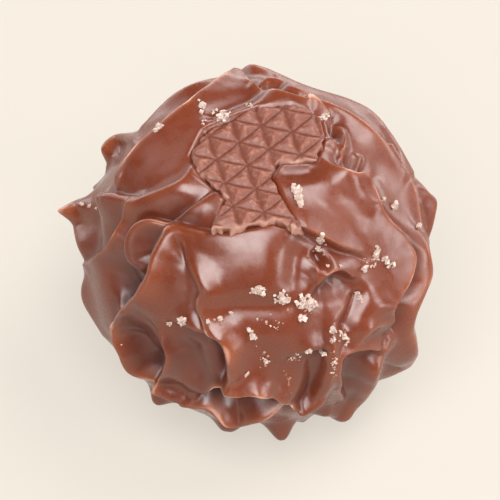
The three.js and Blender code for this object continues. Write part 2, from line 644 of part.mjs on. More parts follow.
// The coating with its salt, and with a bed cut for the chip
function truffleSolid() {
  const salted = saltCrystals().reduce((solid, crystal) => solid.add(crystal), coatingSolid());
  const bed = chipPrism(CHIP_GAP, CHIP_TOP - CHIP_THICKNESS - CHIP_GAP, CHIP_TOP + BALL_RADIUS);
  return largestPiece(salted.subtract(bed));
}

function chipSolid() {
  return embossedSlab().intersect(chipPrism(0, CHIP_TOP - 2 * CHIP_THICKNESS, CHIP_TOP + CHIP_THICKNESS));
}

function namedMesh(name, solid, colour, roughness) {
  const material = new THREE.MeshStandardMaterial({ color: colour, roughness, metalness: 0 });
  const mesh = new THREE.Mesh(geometryFrom(solid), material);
  mesh.name = name;
  return mesh;
}

const truffle = new THREE.Group();
truffle.add(namedMesh("truffle", truffleSolid(), COATING_COLOUR, COATING_ROUGHNESS));
truffle.add(namedMesh("embossed_chip", chipSolid(), CHIP_COLOUR, CHIP_ROUGHNESS));
truffle.position.z = BALL_CENTRE;

export default truffle;
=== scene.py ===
"""Looks of one chocolate coated candy: rough coating, embossed chip on its crown, salt and crumbs."""

import math
from typing import NamedTuple

import bmesh
import bpy
import numpy as np
from bpy.props import FloatProperty, FloatVectorProperty, IntProperty, PointerProperty
from bpy.types import Operator, Panel, PropertyGroup
from mathutils import Matrix, Vector, geometry, noise


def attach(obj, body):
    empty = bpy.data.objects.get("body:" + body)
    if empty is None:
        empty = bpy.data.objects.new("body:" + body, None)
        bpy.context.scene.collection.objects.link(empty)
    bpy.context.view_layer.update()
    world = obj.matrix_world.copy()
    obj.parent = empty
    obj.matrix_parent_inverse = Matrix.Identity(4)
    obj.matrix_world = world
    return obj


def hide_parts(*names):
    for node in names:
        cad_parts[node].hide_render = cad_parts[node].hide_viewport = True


bl_info = {
    "name": "Chocolate coated candy",
    "version": (1, 0, 0),
    "blender": (4, 5, 0),
    "location": "3D View > Sidebar > Candy",
    "description": "Makes one candy's coating, chip, salt and crumbs around its solids, and a plain stage",
    "category": "Add Mesh",
}

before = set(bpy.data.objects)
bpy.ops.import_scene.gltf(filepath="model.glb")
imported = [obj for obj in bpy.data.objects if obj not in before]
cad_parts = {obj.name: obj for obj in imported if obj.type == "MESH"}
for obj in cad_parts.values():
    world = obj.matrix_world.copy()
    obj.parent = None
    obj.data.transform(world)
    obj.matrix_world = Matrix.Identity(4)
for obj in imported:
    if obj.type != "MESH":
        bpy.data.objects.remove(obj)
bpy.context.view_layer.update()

MM = 0.001
BODY = "root"

# A length or share that is taken as nothing
TINY = 1e-9

# The face is the side that shows: a disc of the ball seen from the front, looking down at this angle.
# Places on it are right and up from the ball's middle. Lengths down to the materials are in millimetres.
FACE_ELEVATION = math.radians(50)
FACE_RIGHT = np.array((1.0, 0.0, 0.0))
FACE_UP = np.array((0.0, math.sin(FACE_ELEVATION), math.cos(FACE_ELEVATION)))
FACE_OUT = np.array((0.0, -math.cos(FACE_ELEVATION), math.sin(FACE_ELEVATION)))

BALL_RADIUS = 14.0
BALL_CENTRE = 12.9


class FoldPlan(NamedTuple):
    """A fold: crest points (right, up, height over the ball), how far it falls away on the left and the right
    of someone who walks along the crest, how far it tips left, how deep and how wide the hollow beside its
    steeper flank is, how round its top is and how wide the wall down to that hollow is."""

    crest: tuple
    flanks: tuple
    lean: float = 0.0
    drop: float = 0.0
    hollow: float = 1.5
    rounding: float = 0.14
    wall: float = 0.4


FACE_FOLDS = {
    "back_shoulder": FoldPlan((
        (-11.8, 5.4, 0.8), (-11.3, 7, 1.1), (-9.6, 9.1, 1.3), (-6, 12.3, 1.4), (-2.8, 14.8, 1.5),
        (-1.7, 15.5, 1.7),
    ), flanks=(0.7, 2), lean=0.2, drop=0.5),
    "shoulder_twin": FoldPlan(((-11.7, 5.3, 0.7), (-10.9, 6.2, 0.6), (-10.1, 7.1, 0.3)), flanks=(0.4, 0.4)),
    "back_left_rim": FoldPlan((
        (-2.6, 15, 1.2), (-5, 14.3, 1.3), (-7.2, 13, 1.1), (-9.4, 10.8, 0.5),
    ), flanks=(1, 0.8), rounding=0.3),
    "back_left_curl": FoldPlan((
        (-10.2, 9.6, 0.4), (-11.8, 9.9, 1.1), (-12.9, 8.9, 1.4), (-12.4, 7.6, 0.5),
    ), flanks=(0.5, 0.6), drop=0.4, hollow=0.8, rounding=0.5),
    "crown_rim": FoldPlan((
        (-1.8, 15.6, 1.7), (-0.6, 15.9, 1.9), (0.6, 15.6, 1.6), (1.8, 15.1, 1.2), (4.3, 14, 0.7),
        (9, 12.4, 1.3), (11.2, 10.2, 1.2), (13.1, 7, 0.9),
    ), flanks=(1.4, 1.2), rounding=0.4),
    "crown_crest": FoldPlan((
        (-1.6, 15.2, 1.3), (0.2, 14.1, 1.1), (4.2, 12.9, 1.1), (4.7, 13.1, 1.2), (6.4, 11.2, 0.7),
    ), flanks=(0.4, 1.1), lean=0.2, drop=0.8, hollow=0.8),
    "crown_slit": FoldPlan((
        (0.2, 14.2, 0.9), (1.3, 14.7, 1.1), (3.3, 13.9, 1.1), (6, 12.7, 1.2), (9, 10.9, 1.3),
        (10.6, 9.3, 1.3), (12.4, 6.9, 1),
    ), flanks=(0.6, 0.9), drop=0.9, hollow=0.8, rounding=0.7),
    "upper_left": FoldPlan((
        (-4.9, 7.2, 0.7), (-6.1, 5.8, 1.1), (-7.8, 5, 1.2), (-9.5, 4.3, 1.2), (-11, 4.2, 1.2),
        (-12.6, 4.6, 1.5), (-13.3, 4.7, 1.7),
    ), flanks=(0.7, 0.5), lean=-0.2, drop=1.3, hollow=1, rounding=1),
    "left_spike": FoldPlan((
        (-13.8, 4.9, 0.5), (-15, 4.5, 1.3), (-16.5, 3.65, 2.9),
    ), flanks=(0.4, 0.4), rounding=0.45),
    "middle_left": FoldPlan((
        (-3.4, 4.6, 0.5), (-5.6, 3.3, 1), (-7.6, 2.2, 1.1), (-9.3, 2.5, 1.2), (-10.4, 1.5, 1.1),
        (-10.8, -0.2, 0.9), (-10, -1, 0.5),
    ), flanks=(0.7, 0.5), lean=-0.2, drop=1.2, hollow=0.9, rounding=0.7),
    "great_lip": FoldPlan((
        (-4.6, 1.1, 0.5), (-7, 1.5, 1.1), (-8.2, 0, 1.4), (-8.8, -2, 1.6), (-10, -4, 1.7), (-11.2, -5, 1.8),
        (-12, -6.2, 1.8),
    ), flanks=(0.6, 0.4), lean=-0.2, drop=1.9, hollow=2, rounding=1.1, wall=0.5),
    "lower_lip": FoldPlan((
        (-11.2, -5, 1.6), (-12.1, -6.4, 1.7), (-11.6, -8.3, 1.7), (-10.3, -10.4, 1.6), (-7.2, -12.2, 1.1),
    ), flanks=(0.45, 0.7), lean=-0.2, drop=0.7, hollow=1.6, rounding=0.4),
    "left_hollow_rim": FoldPlan((
        (-10.9, 3, 0.6), (-12, 1.4, 0.9), (-13.2, 0, 0.9), (-14.4, -0.9, 0.7),
    ), flanks=(0.8, 0.5), drop=0.7),
    "left_outline": FoldPlan((
        (-14.9, 4.2, 1.5), (-15.2, 2.6, 1.4), (-14.9, 0.4, 1), (-14.3, -1.6, 0.5), (-14.5, -3.8, 1),
        (-12.9, -6.6, 0.5),
    ), flanks=(1, 1), rounding=0.4),
    "left_rim": FoldPlan((
        (-12.2, -3.9, 0.4), (-12.25, -5.1, 0.8), (-12, -6, 1.2),
    ), flanks=(0.5, 0.6), drop=0.4),
    "bowl_bar": FoldPlan((
        (-7.4, -8.3, 0.3), (-6.5, -8.45, 0.4), (-5.6, -8.2, 0.1),
    ), flanks=(0.5, 0.5), rounding=0.5),
    "lower_left": FoldPlan((
        (-8, -6.8, 0.3), (-7.7, -8.5, 1), (-7.6, -9.5, 1.2), (-8, -10.6, 1.2), (-8.5, -11.4, 1.1),
    ), flanks=(0.6, 0.4), lean=-0.15, drop=1.2, hollow=1.4, rounding=0.2),
    "dome_rim": FoldPlan((
        (-5.4, 0.6, 0.5), (-5, -0.8, 0.8), (-4.5, -2, 1), (-4.1, -3.2, 1.1), (-4.4, -4.5, 1),
        (-3.8, -5.8, 1), (-3, -6.8, 1.2),
    ), flanks=(0.6, 0.4), lean=-0.1, drop=1.6, hollow=0.8, rounding=0.8, wall=0.5),
    "lower_middle": FoldPlan((
        (-6, -5.5, 0.4), (-5, -5.9, 0.7), (-4, -6.3, 1.1), (-2.8, -6.9, 1.4), (-2.2, -7.9, 1.6),
        (-2, -9.2, 1.7), (-1.8, -10.4, 1.4), (-2.1, -11.5, 0.8),
    ), flanks=(0.5, 0.35), lean=-0.3, drop=2.1, hollow=1.5, rounding=0.8, wall=0.5),
    "bottom_ledge": FoldPlan((
        (-4.6, -12, 0.9), (-3.4, -11.9, 1.8), (-2.4, -11.9, 1.9), (-1.2, -11.8, 1.7), (0.1, -11.7, 1.7),
        (1.2, -12.1, 1.6), (2.4, -12.6, 1.5), (3.4, -12.9, 1),
    ), flanks=(1.2, 0.4), drop=3, hollow=1.6),
    "bottom_rim": FoldPlan((
        (-6.2, -12.6, 0.9), (-4.4, -13.3, 1.3), (-3.2, -14, 1.5), (-2.4, -14.4, 1.5), (-1.4, -14.3, 1.2),
        (-0.4, -14.1, 1.3), (1, -13.9, 1.5), (2.9, -13.6, 1.8), (4, -13.2, 1.1), (5.3, -12.4, 0.9),
    ), flanks=(0.5, 0.9), drop=0.3, rounding=0.3),
    "lower_loop": FoldPlan((
        (6.3, -5.6, 0.2), (6.4, -7, 0.6), (6.4, -8.6, 1), (6.3, -10, 1.1), (6, -11.4, 1.1),
        (5.2, -12.6, 1.1), (4, -13.2, 1.1),
    ), flanks=(0.6, 0.4), drop=0.6, hollow=1.5, rounding=0.6, wall=0.5),
    "loop_brow": FoldPlan((
        (3.4, -8, 0.4), (4.4, -7.8, 0.7), (5.4, -7.9, 0.8),
    ), flanks=(0.9, 0.4), lean=-0.1, drop=0.7, hollow=1.1, rounding=0.4),
    "loop_seam": FoldPlan(((2.3, -9.3, 0.2), (2.6, -10.4, 0.3), (2.9, -11.5, 0.3)), flanks=(0.3, 0.3)),
    "pocket_rim": FoldPlan((
        (7.2, -12.2, 0.5), (7, -11.2, 0.9), (6.95, -9.9, 1), (7, -8.8, 0.9), (7.6, -8.2, 0.8),
        (9.1, -7.9, 0.8), (10.3, -7.9, 0.9),
    ), flanks=(0.6, 0.35), drop=0.6, hollow=1.6, rounding=0.25, wall=0.5),
    "pocket_right": FoldPlan((
        (11.2, -7.4, 0.8), (10.2, -10, 1.6), (9.6, -11.5, 1.4), (8.5, -12.8, 1.4), (7, -13.3, 1),
    ), flanks=(0.8, 0.5), drop=0.6, hollow=0.8, rounding=0.9),
    "right_rim": FoldPlan((
        (9.1, 6.5, 1.3), (9.6, 5.3, 1), (10.3, 3.5, 1), (12.4, 1, 1.2), (13.05, -0.4, 1.4),
        (12.6, -2.2, 1.3), (11.3, -4.2, 1.2), (11.2, -5.6, 0.9),
    ), flanks=(0.5, 1.6), lean=0.25, drop=1.2, hollow=1.3),
    "right_ledge": FoldPlan((
        (5.2, 8, 0.5), (6.7, 6.9, 1), (8.1, 6.4, 1.2), (9.1, 6.5, 1.3),
    ), flanks=(0.4, 1.6), lean=0.2, drop=1.2, hollow=1.2),
    "right_arm": FoldPlan(((8.8, 8.1, 0.7), (8.9, 7.2, 0.9), (9.1, 6.5, 1.3)), flanks=(0.4, 0.5)),
    "right_flange": FoldPlan((
        (11.2, -5.6, 0.9), (9.5, -6, 0.7), (8.3, -7.4, 0.6),
    ), flanks=(0.8, 0.8), rounding=0.3),
    "outer_right": FoldPlan((
        (11.3, 9.2, 0.9), (13, 6, 1), (13.7, 2.8, 0.9), (14, 0.1, 0.7),
    ), flanks=(0.5, 0.9), lean=0.1, drop=0.8, hollow=1),
    "right_spike": FoldPlan((
        (13.4, 6.2, 0.7), (14.3, 5.3, 1.3), (15.1, 4.2, 1.7), (14.4, 1.3, 0.5),
    ), flanks=(0.7, 0.6), rounding=0.3),
    "right_outline": FoldPlan((
        (14.3, 1, 1.2), (14.4, 0.3, 1.6), (14.6, -1.6, 1.8), (14, -3.4, 1.6), (13.3, -5, 1.4),
        (13, -6.6, 1.4), (13.4, -8.3, 2), (12.6, -9.6, 1.8), (10.4, -10.4, 0.8),
    ), flanks=(0.8, 1.2), rounding=0.9),
    "pocket_step": FoldPlan((
        (5, -2.4, 0.5), (5.8, -1.5, 0.9), (7, -1, 0.9), (8.1, -1.6, 0.4),
    ), flanks=(1, 0.35), lean=-0.3, drop=0.9, hollow=1.4, wall=0.9),
    "small_tongue": FoldPlan(((4.9, 0.6, 0.2), (5.1, -0.9, 0.7), (4.9, -2.4, 0.4)), flanks=(0.4, 0.4)),
    "slanting_step": FoldPlan((
        (4, 2.1, 0.8), (5.2, 1.6, 0.8), (7, 0.8, 0.7), (8.6, 0.1, 0.3),
    ), flanks=(1.6, 0.5), drop=0.8, hollow=0.9),
    "rumple": FoldPlan((
        (6.4, 11.1, 0.6), (7.2, 10.5, 0.8), (7.4, 9.5, 0.8), (7.2, 8.1, 0.5),
    ), flanks=(0.4, 0.35), drop=0.5, hollow=0.6),
    "small_rumple": FoldPlan(((5.9, 9.4, 0.4), (6.6, 9.3, 0.6), (7, 8.7, 0.5)), flanks=(0.3, 0.3)),
}

# Round swellings and hollows of the face: the line that each runs along, its rise and its radius
FACE_SWELLS = {
    "middle_dome": (((-1.4, -0.8), (0.2, -0.8)), 0.95, 3.5),
    "chip_bed": (((-2.6, 2), (2.6, 2)), 0.6, 1.8),
    "behind_chip": (((-3.6, 11.4), (0.2, 13)), -0.6, 0.9),
    "dome_shadow": (((3.4, -0.4), (3.3, -2)), -0.7, 1.3),
    "under_dome": (((-1.6, -4.2), (2.4, -4.1)), -0.3, 0.9),
    "left_hollow": (((-11.4, -1.8), (-11.2, -2.8)), -1.6, 2),
    "shiny_left_hollow": (((-13.2, 2.8), (-13.4, 1.4)), -0.5, 1.3),
    "lower_left_dish": (((-9.6, -6.9), (-8.6, -8.9)), -1, 1.5),
    "lower_hollow": (((-5.6, -8.4), (-4.6, -10)), -1.2, 1.9),
    "ledge_hollow": (((-2.8, -12.1), (0.4, -11.6)), -1.6, 1.1),
    "loop_hollow": (((4.6, -9.6), (4.4, -11)), -0.35, 1.3),
    "pocket": (((8.2, -8.9), (7.8, -10.4)), -0.6, 1.2),
    "under_loop": (((5.6, -12.7), (6.7, -12.4)), 0.8, 0.9),
    "valley": (((8.3, -3.4), (7.2, -5.8)), -0.6, 0.5),
    "right_bulge": (((9.4, -4.2), (8.6, -5.6)), 0.5, 1.4),
    "step_hollow": (((5.6, -3), (7.2, -2.8)), -0.5, 1.2),
    "step_pit": (((5, -0.1), (5.2, -0.5)), -1.2, 0.5),
    "lower_plain": (((0.6, -6.6), (2.4, -6.4)), 0.3, 1.5),
    "seam_hollow": (((2.2, -9.4), (1.8, -10.2)), -0.35, 1.2),
    "shiny_bump": (((0.4, -10.6), (0.8, -10.6)), 0.35, 0.6),
    "ledge_pit": (((7.2, 7.5), (8.4, 7.4)), -0.4, 0.9),
    "ledge_streak": (((6.9, 6), (9, 3.8)), 0.35, 0.9),
    "rumple_pit": (((6.2, 10.6), (6.4, 10)), -0.7, 0.5),
    "slit": (((0.6, 13.4), (1.7, 13.3)), -0.7, 0.5),
    "under_chip_corner": (((2.6, 6.8), (4.4, 6.8)), -0.5, 1),
    "left_knob": (((-8.6, -12.7), (-8.6, -12.9)), 1.1, 0.9),
    "bottom_knob": (((-2.6, -14.8), (-2.2, -14.8)), 1, 1),
    "bottom_spike": (((2, -14.8), (2.2, -15)), 1.4, 0.9),
}

# Folds of the hidden side: a loose net of crests between evenly scattered peaks
NET_PEAKS = 96
NET_STRIDES = (8, 13)
NET_SHARE = 0.72
NET_JITTER = 1.5
NET_BEND = 1.3
NET_PEAK_HEIGHTS = (0.5, 1.7)
NET_SADDLE = 0.62
NET_FLANKS = (0.45, 1.8)
NET_DROP = 0.7
NET_OUTLINE = 0.5
NET_FACE_EDGE = -0.04
NET_LOWEST = -0.78
NET_SEED = 20

# Salt: each pile is right, up, length, width, heading in degrees, how many crystals and their size
SALT_PILES = (
    (0.3, -3, 1.4, 0.4, -5, 6, 0.42), (2.2, -3.6, 1.1, 0.9, 0, 7, 0.46),
    (4.2, -4.1, 1.5, 0.9, -50, 9, 0.46), (3.7, -5.2, 0.4, 0.2, -40, 2, 0.36),
    (3.4, 4.9, 1.5, 0.4, -75, 6, 0.46), (5.2, 1.2, 0.6, 0.3, 70, 3, 0.4), (5.1, 0.4, 0.5, 0.2, 20, 2, 0.34),
    (6.2, -6.2, 0.6, 0.3, 80, 3, 0.4), (6.3, -7, 0.5, 0.1, 80, 2, 0.32),
    (7.2, -6.7, 0.8, 0.2, -50, 3, 0.34), (9.85, 0, 0.9, 0.3, 85, 4, 0.4),
    (10.8, -0.8, 0.9, 0.2, -40, 3, 0.42), (8.9, -1.3, 0.5, 0.3, 60, 2, 0.44),
    (8.5, -3.6, 0.7, 0.1, -70, 2, 0.36), (5.8, -0.8, 0, 0, 0, 1, 0.34), (6.9, -0.7, 0, 0, 0, 1, 0.32),
    (11.4, 3.9, 0.5, 0.2, -30, 2, 0.44), (10.4, 4.5, 0, 0, 0, 1, 0.4), (13.3, 2.3, 0, 0, 0, 1, 0.4),
    (4.25, -7.9, 0.3, 0.1, 0, 2, 0.36), (5.4, -8.05, 0.6, 0.1, -20, 2, 0.34),
    (-0.4, -6.5, 0.7, 0.2, -60, 3, 0.4), (-2, -4.9, 0, 0, 0, 1, 0.44), (-2.9, -5.2, 0, 0, 0, 1, 0.34),
    (-3.8, -5.5, 0, 0, 0, 1, 0.34), (-5.9, -5.2, 0, 0, 0, 1, 0.48), (-7, -5.7, 0, 0, 0, 1, 0.34),
    (-4.45, 12.1, 0.7, 0.1, 85, 2, 0.44), (-2.6, 11.3, 1, 0.3, 32, 4, 0.44),
    (-7.9, 10.4, 0.6, 0.1, 50, 2, 0.38), (5.5, 11.2, 0.5, 0.2, -30, 3, 0.42),
)

# Single specks of salt, and patches of chocolate crumbs, in the same way
SALT_SPECKS = (
    (-11.4, -7.8, 0.2, 0.1, 0, 1, 0.24), (0.7, -8.7, 0.5, 0.3, 0, 2, 0.26),
    (-0.7, -9.9, 0.3, 0.1, 60, 1, 0.28), (-3.4, 11.7, 0.2, 0.1, 0, 1, 0.3),
    (-4.3, 10.9, 0.3, 0.1, 80, 1, 0.28), (-0.6, 12.2, 0.3, 0.1, 0, 1, 0.3), (-13.7, 4, 0.2, 0.1, 0, 1, 0.3),
    (7.5, -7.3, 0.3, 0.1, 0, 1, 0.28), (6.4, -9, 1.7, 0.2, -88, 4, 0.2), (9.6, -1, 0.2, 0.1, 0, 1, 0.3),
    (1.4, -5.6, 2, 1.2, 20, 3, 0.18), (3, -8.5, 1.2, 0.6, 0, 2, 0.2),
)
CRUMB_PATCHES = (
    (0.7, -8.7, 1.4, 1, 0, 10, 0.26), (3, -8.5, 1.4, 0.7, 10, 9, 0.26), (2.6, -10.4, 2, 0.3, -75, 12, 0.22),
    (6.4, -9, 1.9, 0.4, -88, 12, 0.22), (-0.3, -7, 1.4, 0.7, -60, 8, 0.24),
    (3.9, -4.6, 1.8, 1.4, -40, 12, 0.24), (-3.2, -5.4, 2.4, 0.5, 8, 9, 0.24),
    (9.8, -0.4, 1.8, 1.2, 0, 9, 0.24), (5.3, 0.6, 1.2, 0.8, 60, 8, 0.24),
    (-3.6, 11.4, 1.6, 0.8, 30, 9, 0.24), (-6.4, -5.4, 1.4, 0.5, 0, 5, 0.22),
    (7, -6.8, 1.4, 0.8, -50, 7, 0.22),
)

# Grains lie so loosely about a patch, which reaches this far past its own size, and vary in size and shape
GRAIN_SPREAD = 0.24
GRAIN_LIMIT = 0.5
GRAIN_MARGIN = 0.25
GRAIN_SIZES = (0.4, 1.1)
GRAIN_CUBE = 0.8
GRAIN_LUMPS = (0.7, 1.3)

# Seeds of the grains' draws, and how far grains stand out of the coating as a share of their size
SALT_SEED = 7
SALT_LIFT = (-0.1, 0.6)
CRUMB_SEED = 9
CRUMB_LIFT = (-0.3, 0.2)

# Crumbs are as pale as a lip of this height, in its painted glow and painted highlight colours
CRUMB_LIP = 0.7

# The chip's outline on the face
CHIP_OUTLINE = (
    (-5.4, 8.2), (-4.2, 9.9), (-2, 11), (0.3, 12), (2.9, 12.3), (4.3, 11.8), (5.3, 11.1), (5.6, 9.5),
    (4.9, 7.7), (1.9, 7.5), (1.1, 6.3), (2, 4.6), (3.7, 2.1), (1.4, 2.7), (-1.2, 2.2), (-3.7, 2.1),
    (-3, 3.5), (-2.3, 4.5), (-4.7, 6.6),
)
CHIP_TOP = 13.2
CHIP_THICKNESS = 0.9
CHIP_PITCH = 2.6
CHIP_TURN = math.radians(-15)
CHIP_RELIEF = 0.52
CHIP_PATTERN_AT = (-1.4, 9.15)

# The pattern's repeats on each side of its start, the gap that it keeps from the edge, its pyramids' bulge
CHIP_REPEATS = 6
CHIP_MARGIN = 0.07
CHIP_BULGE = 0.9

# The chip's face is split in triangles inside its outline, and points nearer than this are one
INSIDE_ONLY = 1
SAME_POINT = 1e-6

# The top falls off by this much at the chip's edge, over this width
CHIP_FALL = 0.12
CHIP_FALL_WIDTH = 0.08

# Noise in layers: the weight of each, the size of its swellings and a shift that sets it apart
CHIP_WEAR = ((0.02, 0.7, 0), (0.015, 0.3, 20))
CHIP_EDGE_STRAY = ((1, 0.9, 0), (0.6, 0.3, 40))
SKIN_WAVES = ((1, 4.5, 0), (0.2, 1.1, 30))
LIP_WAVES = ((0.6, 1.8, 70),)

# The break goes down in rough steps: the size and the reach of its coarse and its fine stray
BREAK_STEPS = 4
BREAK_COARSE = (0.8, 0.2)
BREAK_FINE = (0.3, 0.07)

# The pale break is this wide, and an edge that looks away from the front keeps this share of it
BREAK_WIDTH = 0.12
MOULDED_EDGE = 0.15
FACING_STEP = np.array((0, 0.05))

# Coating that is higher than this under the chip's top gives way to the chip: how deep its bed is, how soft
# the bed's brim is, and how far under the brim the skin starts to bend
BED_REACH = 3
BED_DEPTH = 0.6
BED_SOFTNESS = 0.1
BED_START = -1

# Crests stray in coarse swings of this size, and by this share in fine ones
STRAY_SIZE = 1.6
FINE_STRAY_SIZE = 0.6
FINE_STRAY_SHARE = 0.12

# Lips keep this share of their height on average, and hollows of the face add by this share to the painted
# shade in the hollows
LIP_SHARE = 0.55
HOLLOW_SHADE_SHARE = 0.5


def linear(hex_colour):
    """The linear colour of an sRGB hex value."""
    channels = [int(hex_colour[place:place + 2], 16) / 255 for place in (1, 3, 5)]
    return [value / 12.92 if value <= 0.04045 else ((value + 0.055) / 1.055) ** 2.4 for value in channels]


def seeded_draws(seed):
    """Endless seeded draws from 0 to 1, the same as those that place the solids' folds."""
    factor, step, span = 1664525, 1013904223, 2 ** 32
    state = seed
    while True:
        state = (factor * state + step) % span
        yield state / span


def lerp(start, end, share):
    return start + (end - start) * share


def unit(vectors):
    return vectors / np.linalg.norm(vectors, axis=-1, keepdims=True)


def face_points(places, heights=0.0):
    """Points over the face at places (right, up) and heights over the ball, from the ball's middle."""
    places = np.atleast_2d(np.asarray(places, float))
    across, along = places[:, 0], places[:, 1]
    out = np.sqrt(np.maximum(0.0, (BALL_RADIUS + heights) ** 2 - across ** 2 - along ** 2))
    return across[:, None] * FACE_RIGHT + along[:, None] * FACE_UP + out[:, None] * FACE_OUT


def smooth_curve(points, steps):
    """Points along a smooth curve through the given points, with so many steps between two of them."""
    points = np.asarray(points, float)
    ends = np.vstack((2 * points[0] - points[1], points, 2 * points[-1] - points[-2]))
    shares = np.arange(steps)[:, None] / steps
    runs = []
    for before, start, end, after in zip(ends, ends[1:], ends[2:], ends[3:]):
        leave, arrive = (end - before) / 2, (after - start) / 2
        runs.append(start + leave * shares + (3 * (end - start) - 2 * leave - arrive) * shares ** 2
                    + (2 * (start - end) + leave + arrive) * shares ** 3)
    return np.vstack((*runs, points[-1:]))


class Fold:
    """One fold of the coating: its plan, and its crest as directions from the ball's middle with heights."""

    steps = 12
    reach = 7.0

    def __init__(self, points, plan):
        samples = smooth_curve(points, self.steps)
        self.plan = plan
        self.directions = unit(samples)
        self.heights = np.linalg.norm(samples, axis=1) - BALL_RADIUS
        self.steep = 1.0 if plan.flanks[0] < plan.flanks[1] else -1.0
        self.middle = unit(self.directions.mean(axis=0))
        spread = np.arccos(np.clip(self.directions @ self.middle, -1, 1)).max()
        self.nearest_cosine = math.cos(min(math.pi, spread + self.reach * max(plan.flanks) / BALL_RADIUS))

    def nearest(self, directions):
        """For each direction, its gap to the crest, the crest's foot, height and left there."""
        gap = np.full(len(directions), np.inf)
        foot = np.empty_like(directions)
        left = np.empty_like(directions)
        height = np.empty(len(directions))
        stretches = zip(self.directions, self.directions[1:], self.heights, self.heights[1:])
        for start, end, low, high in stretches:
            run = end - start
            share = np.clip((directions - start) @ run / (run @ run), 0, 1)
            here = start + share[:, None] * run
            distance = np.linalg.norm(directions - here, axis=1) * BALL_RADIUS
            closer = distance < gap
            gap[closer] = distance[closer]
            foot[closer] = here[closer]
            height[closer] = lerp(low, high, share[closer])
            left[closer] = unit(np.cross(start, run))
        return gap, foot, height, left


def net_peaks(draws):
    """The peaks of the hidden net, on a spiral that spreads them evenly over the ball."""
    golden_angle = math.pi * (3 - math.sqrt(5))
    peaks = []
    for index in range(NET_PEAKS):
        z = 1 - (2 * index + 1) / NET_PEAKS
        ring = math.sqrt(1 - z * z)
        turn = golden_angle * index
        peak = np.array((ring * math.cos(turn), ring * math.sin(turn), z)) * BALL_RADIUS
        jitter = np.array([next(draws) - 0.5 for _ in range(3)])
        direction = unit(peak + 2 * NET_JITTER * jitter)
        height = lerp(*NET_PEAK_HEIGHTS, next(draws) ** 2)
        behind = math.sqrt(max(TINY, 1 - (direction @ FACE_OUT) ** 2))
        tallest = (BALL_RADIUS + NET_OUTLINE) / behind - BALL_RADIUS
        peaks.append(direction * (BALL_RADIUS + min(height, tallest)))
    return peaks


def net_folds():
    """The crests of the hidden net, from peak to peak over a lower saddle that bends to one side."""
    draws = seeded_draws(NET_SEED)
    peaks = net_peaks(draws)
    hidden = [unit(peak) @ FACE_OUT < NET_FACE_EDGE and unit(peak)[2] > NET_LOWEST for peak in peaks]
    folds = []
    for stride in NET_STRIDES:
        for index in range(NET_PEAKS - stride):
            present, bend, left, right = (next(draws) for _ in range(4))
            if present > NET_SHARE or not hidden[index] or not hidden[index + stride]:
                continue
            start, end = peaks[index], peaks[index + stride]
            sideways = unit(np.cross(start, end))
            saddle = unit(start + end + sideways * (bend - 0.5) * 4 * NET_BEND)
            height = (np.linalg.norm(start) + np.linalg.norm(end)) / 2 - BALL_RADIUS
            saddle *= BALL_RADIUS + NET_SADDLE * height
            flanks = (lerp(*NET_FLANKS, left), lerp(*NET_FLANKS, right))
            plan = FoldPlan((), flanks, drop=NET_DROP * abs(flanks[0] - flanks[1]))
            folds.append(Fold((start, saddle, end), plan))
    return folds


def face_folds():
    folds = []
    for plan in FACE_FOLDS.values():
        crest = np.asarray(plan.crest, float)
        folds.append(Fold(face_points(crest[:, :2], crest[:, 2]), plan))
    return folds


FOLDS = face_folds() + net_folds()

# The deepest hollow beside a crest, the tallest fold, and the rounds that settle the skin's height at a place
DEEPEST_HOLLOW = 2.8
TALLEST_FOLD = 2.0
SKIN_ROUNDS = 10

# A crest that is sharper than this shows a lip of thin chocolate this wide, with a painted glow and a painted
# highlight
SHARP_ROUNDING = 0.2
LIP_WIDTH = 0.22
LIP_SPREAD = 0.7

# A painted highlight: the pale line along the brink of a deep hollow, on its own side of the crest
BRINK_WIDTH = 0.16
BRINK_SIDE = 0.5


def folds_at(directions, blend):
    """Height of the folds in each direction, how far they tip, their lips and hollows, the nearest crest."""
    count = len(directions)
    total = np.zeros(count)
    hollow = np.zeros(count)
    tip = np.zeros((count, 3))
    lip = np.zeros(count)
    closest = np.full(count, np.inf)
    closest_foot = directions.copy()
    for fold in FOLDS:
        near = np.flatnonzero(directions @ fold.middle > fold.nearest_cosine)
        if not len(near):
            continue
        plan = fold.plan
        gap, foot, height, left = fold.nearest(directions[near])
        nearer = gap < closest[near]
        closest[near[nearer]] = gap[nearer]
        closest_foot[near[nearer]] = foot[nearer]
        away = directions[near] - foot
        away /= np.maximum(np.linalg.norm(away, axis=1, keepdims=True), TINY)
        to_left = np.einsum("ij,ij->i", away, left)
        flank = lerp(plan.flanks[1], plan.flanks[0], (1 + to_left) / 2)
        fall = np.exp((plan.rounding - np.hypot(gap, plan.rounding)) / flank)
        weight = (np.maximum(0, height) * fall) ** blend
        total[near] += weight
        tip[near] += left * (weight * plan.lean * fall ** 2)[:, None]
        # A lip's value sets its painted glow of thin chocolate and, where high, its painted highlight
        sharp = min(1.0, math.sqrt(SHARP_ROUNDING / plan.rounding))
        width = LIP_WIDTH + LIP_SPREAD * max(0.0, plan.rounding - SHARP_ROUNDING)
        lip[near] = np.maximum(lip[near], sharp * np.maximum(0, height) * np.exp(-gap / width))
        beyond = gap * to_left * fold.steep - plan.rounding / 2
        tall = np.clip(height / fold.heights.max(), 0, 1)
        # A painted highlight along the brink of the hollow
        brink = plan.drop * tall * np.exp(-((gap - plan.rounding / 2) / BRINK_WIDTH) ** 2)
        brink *= to_left * fold.steep > BRINK_SIDE
        lip[near] = np.maximum(lip[near], brink)
        past = np.clip(beyond / plan.wall, 0, 1)
        hollow[near] += plan.drop * tall * past ** 2 * (3 - 2 * past) * np.exp(-(gap / plan.hollow) ** 2)
    tip /= np.maximum(total, TINY)[:, None]
    hollow = DEEPEST_HOLLOW * np.tanh(hollow / DEEPEST_HOLLOW)
    return total ** (1 / blend) - hollow, tip, lip, hollow, closest, closest_foot


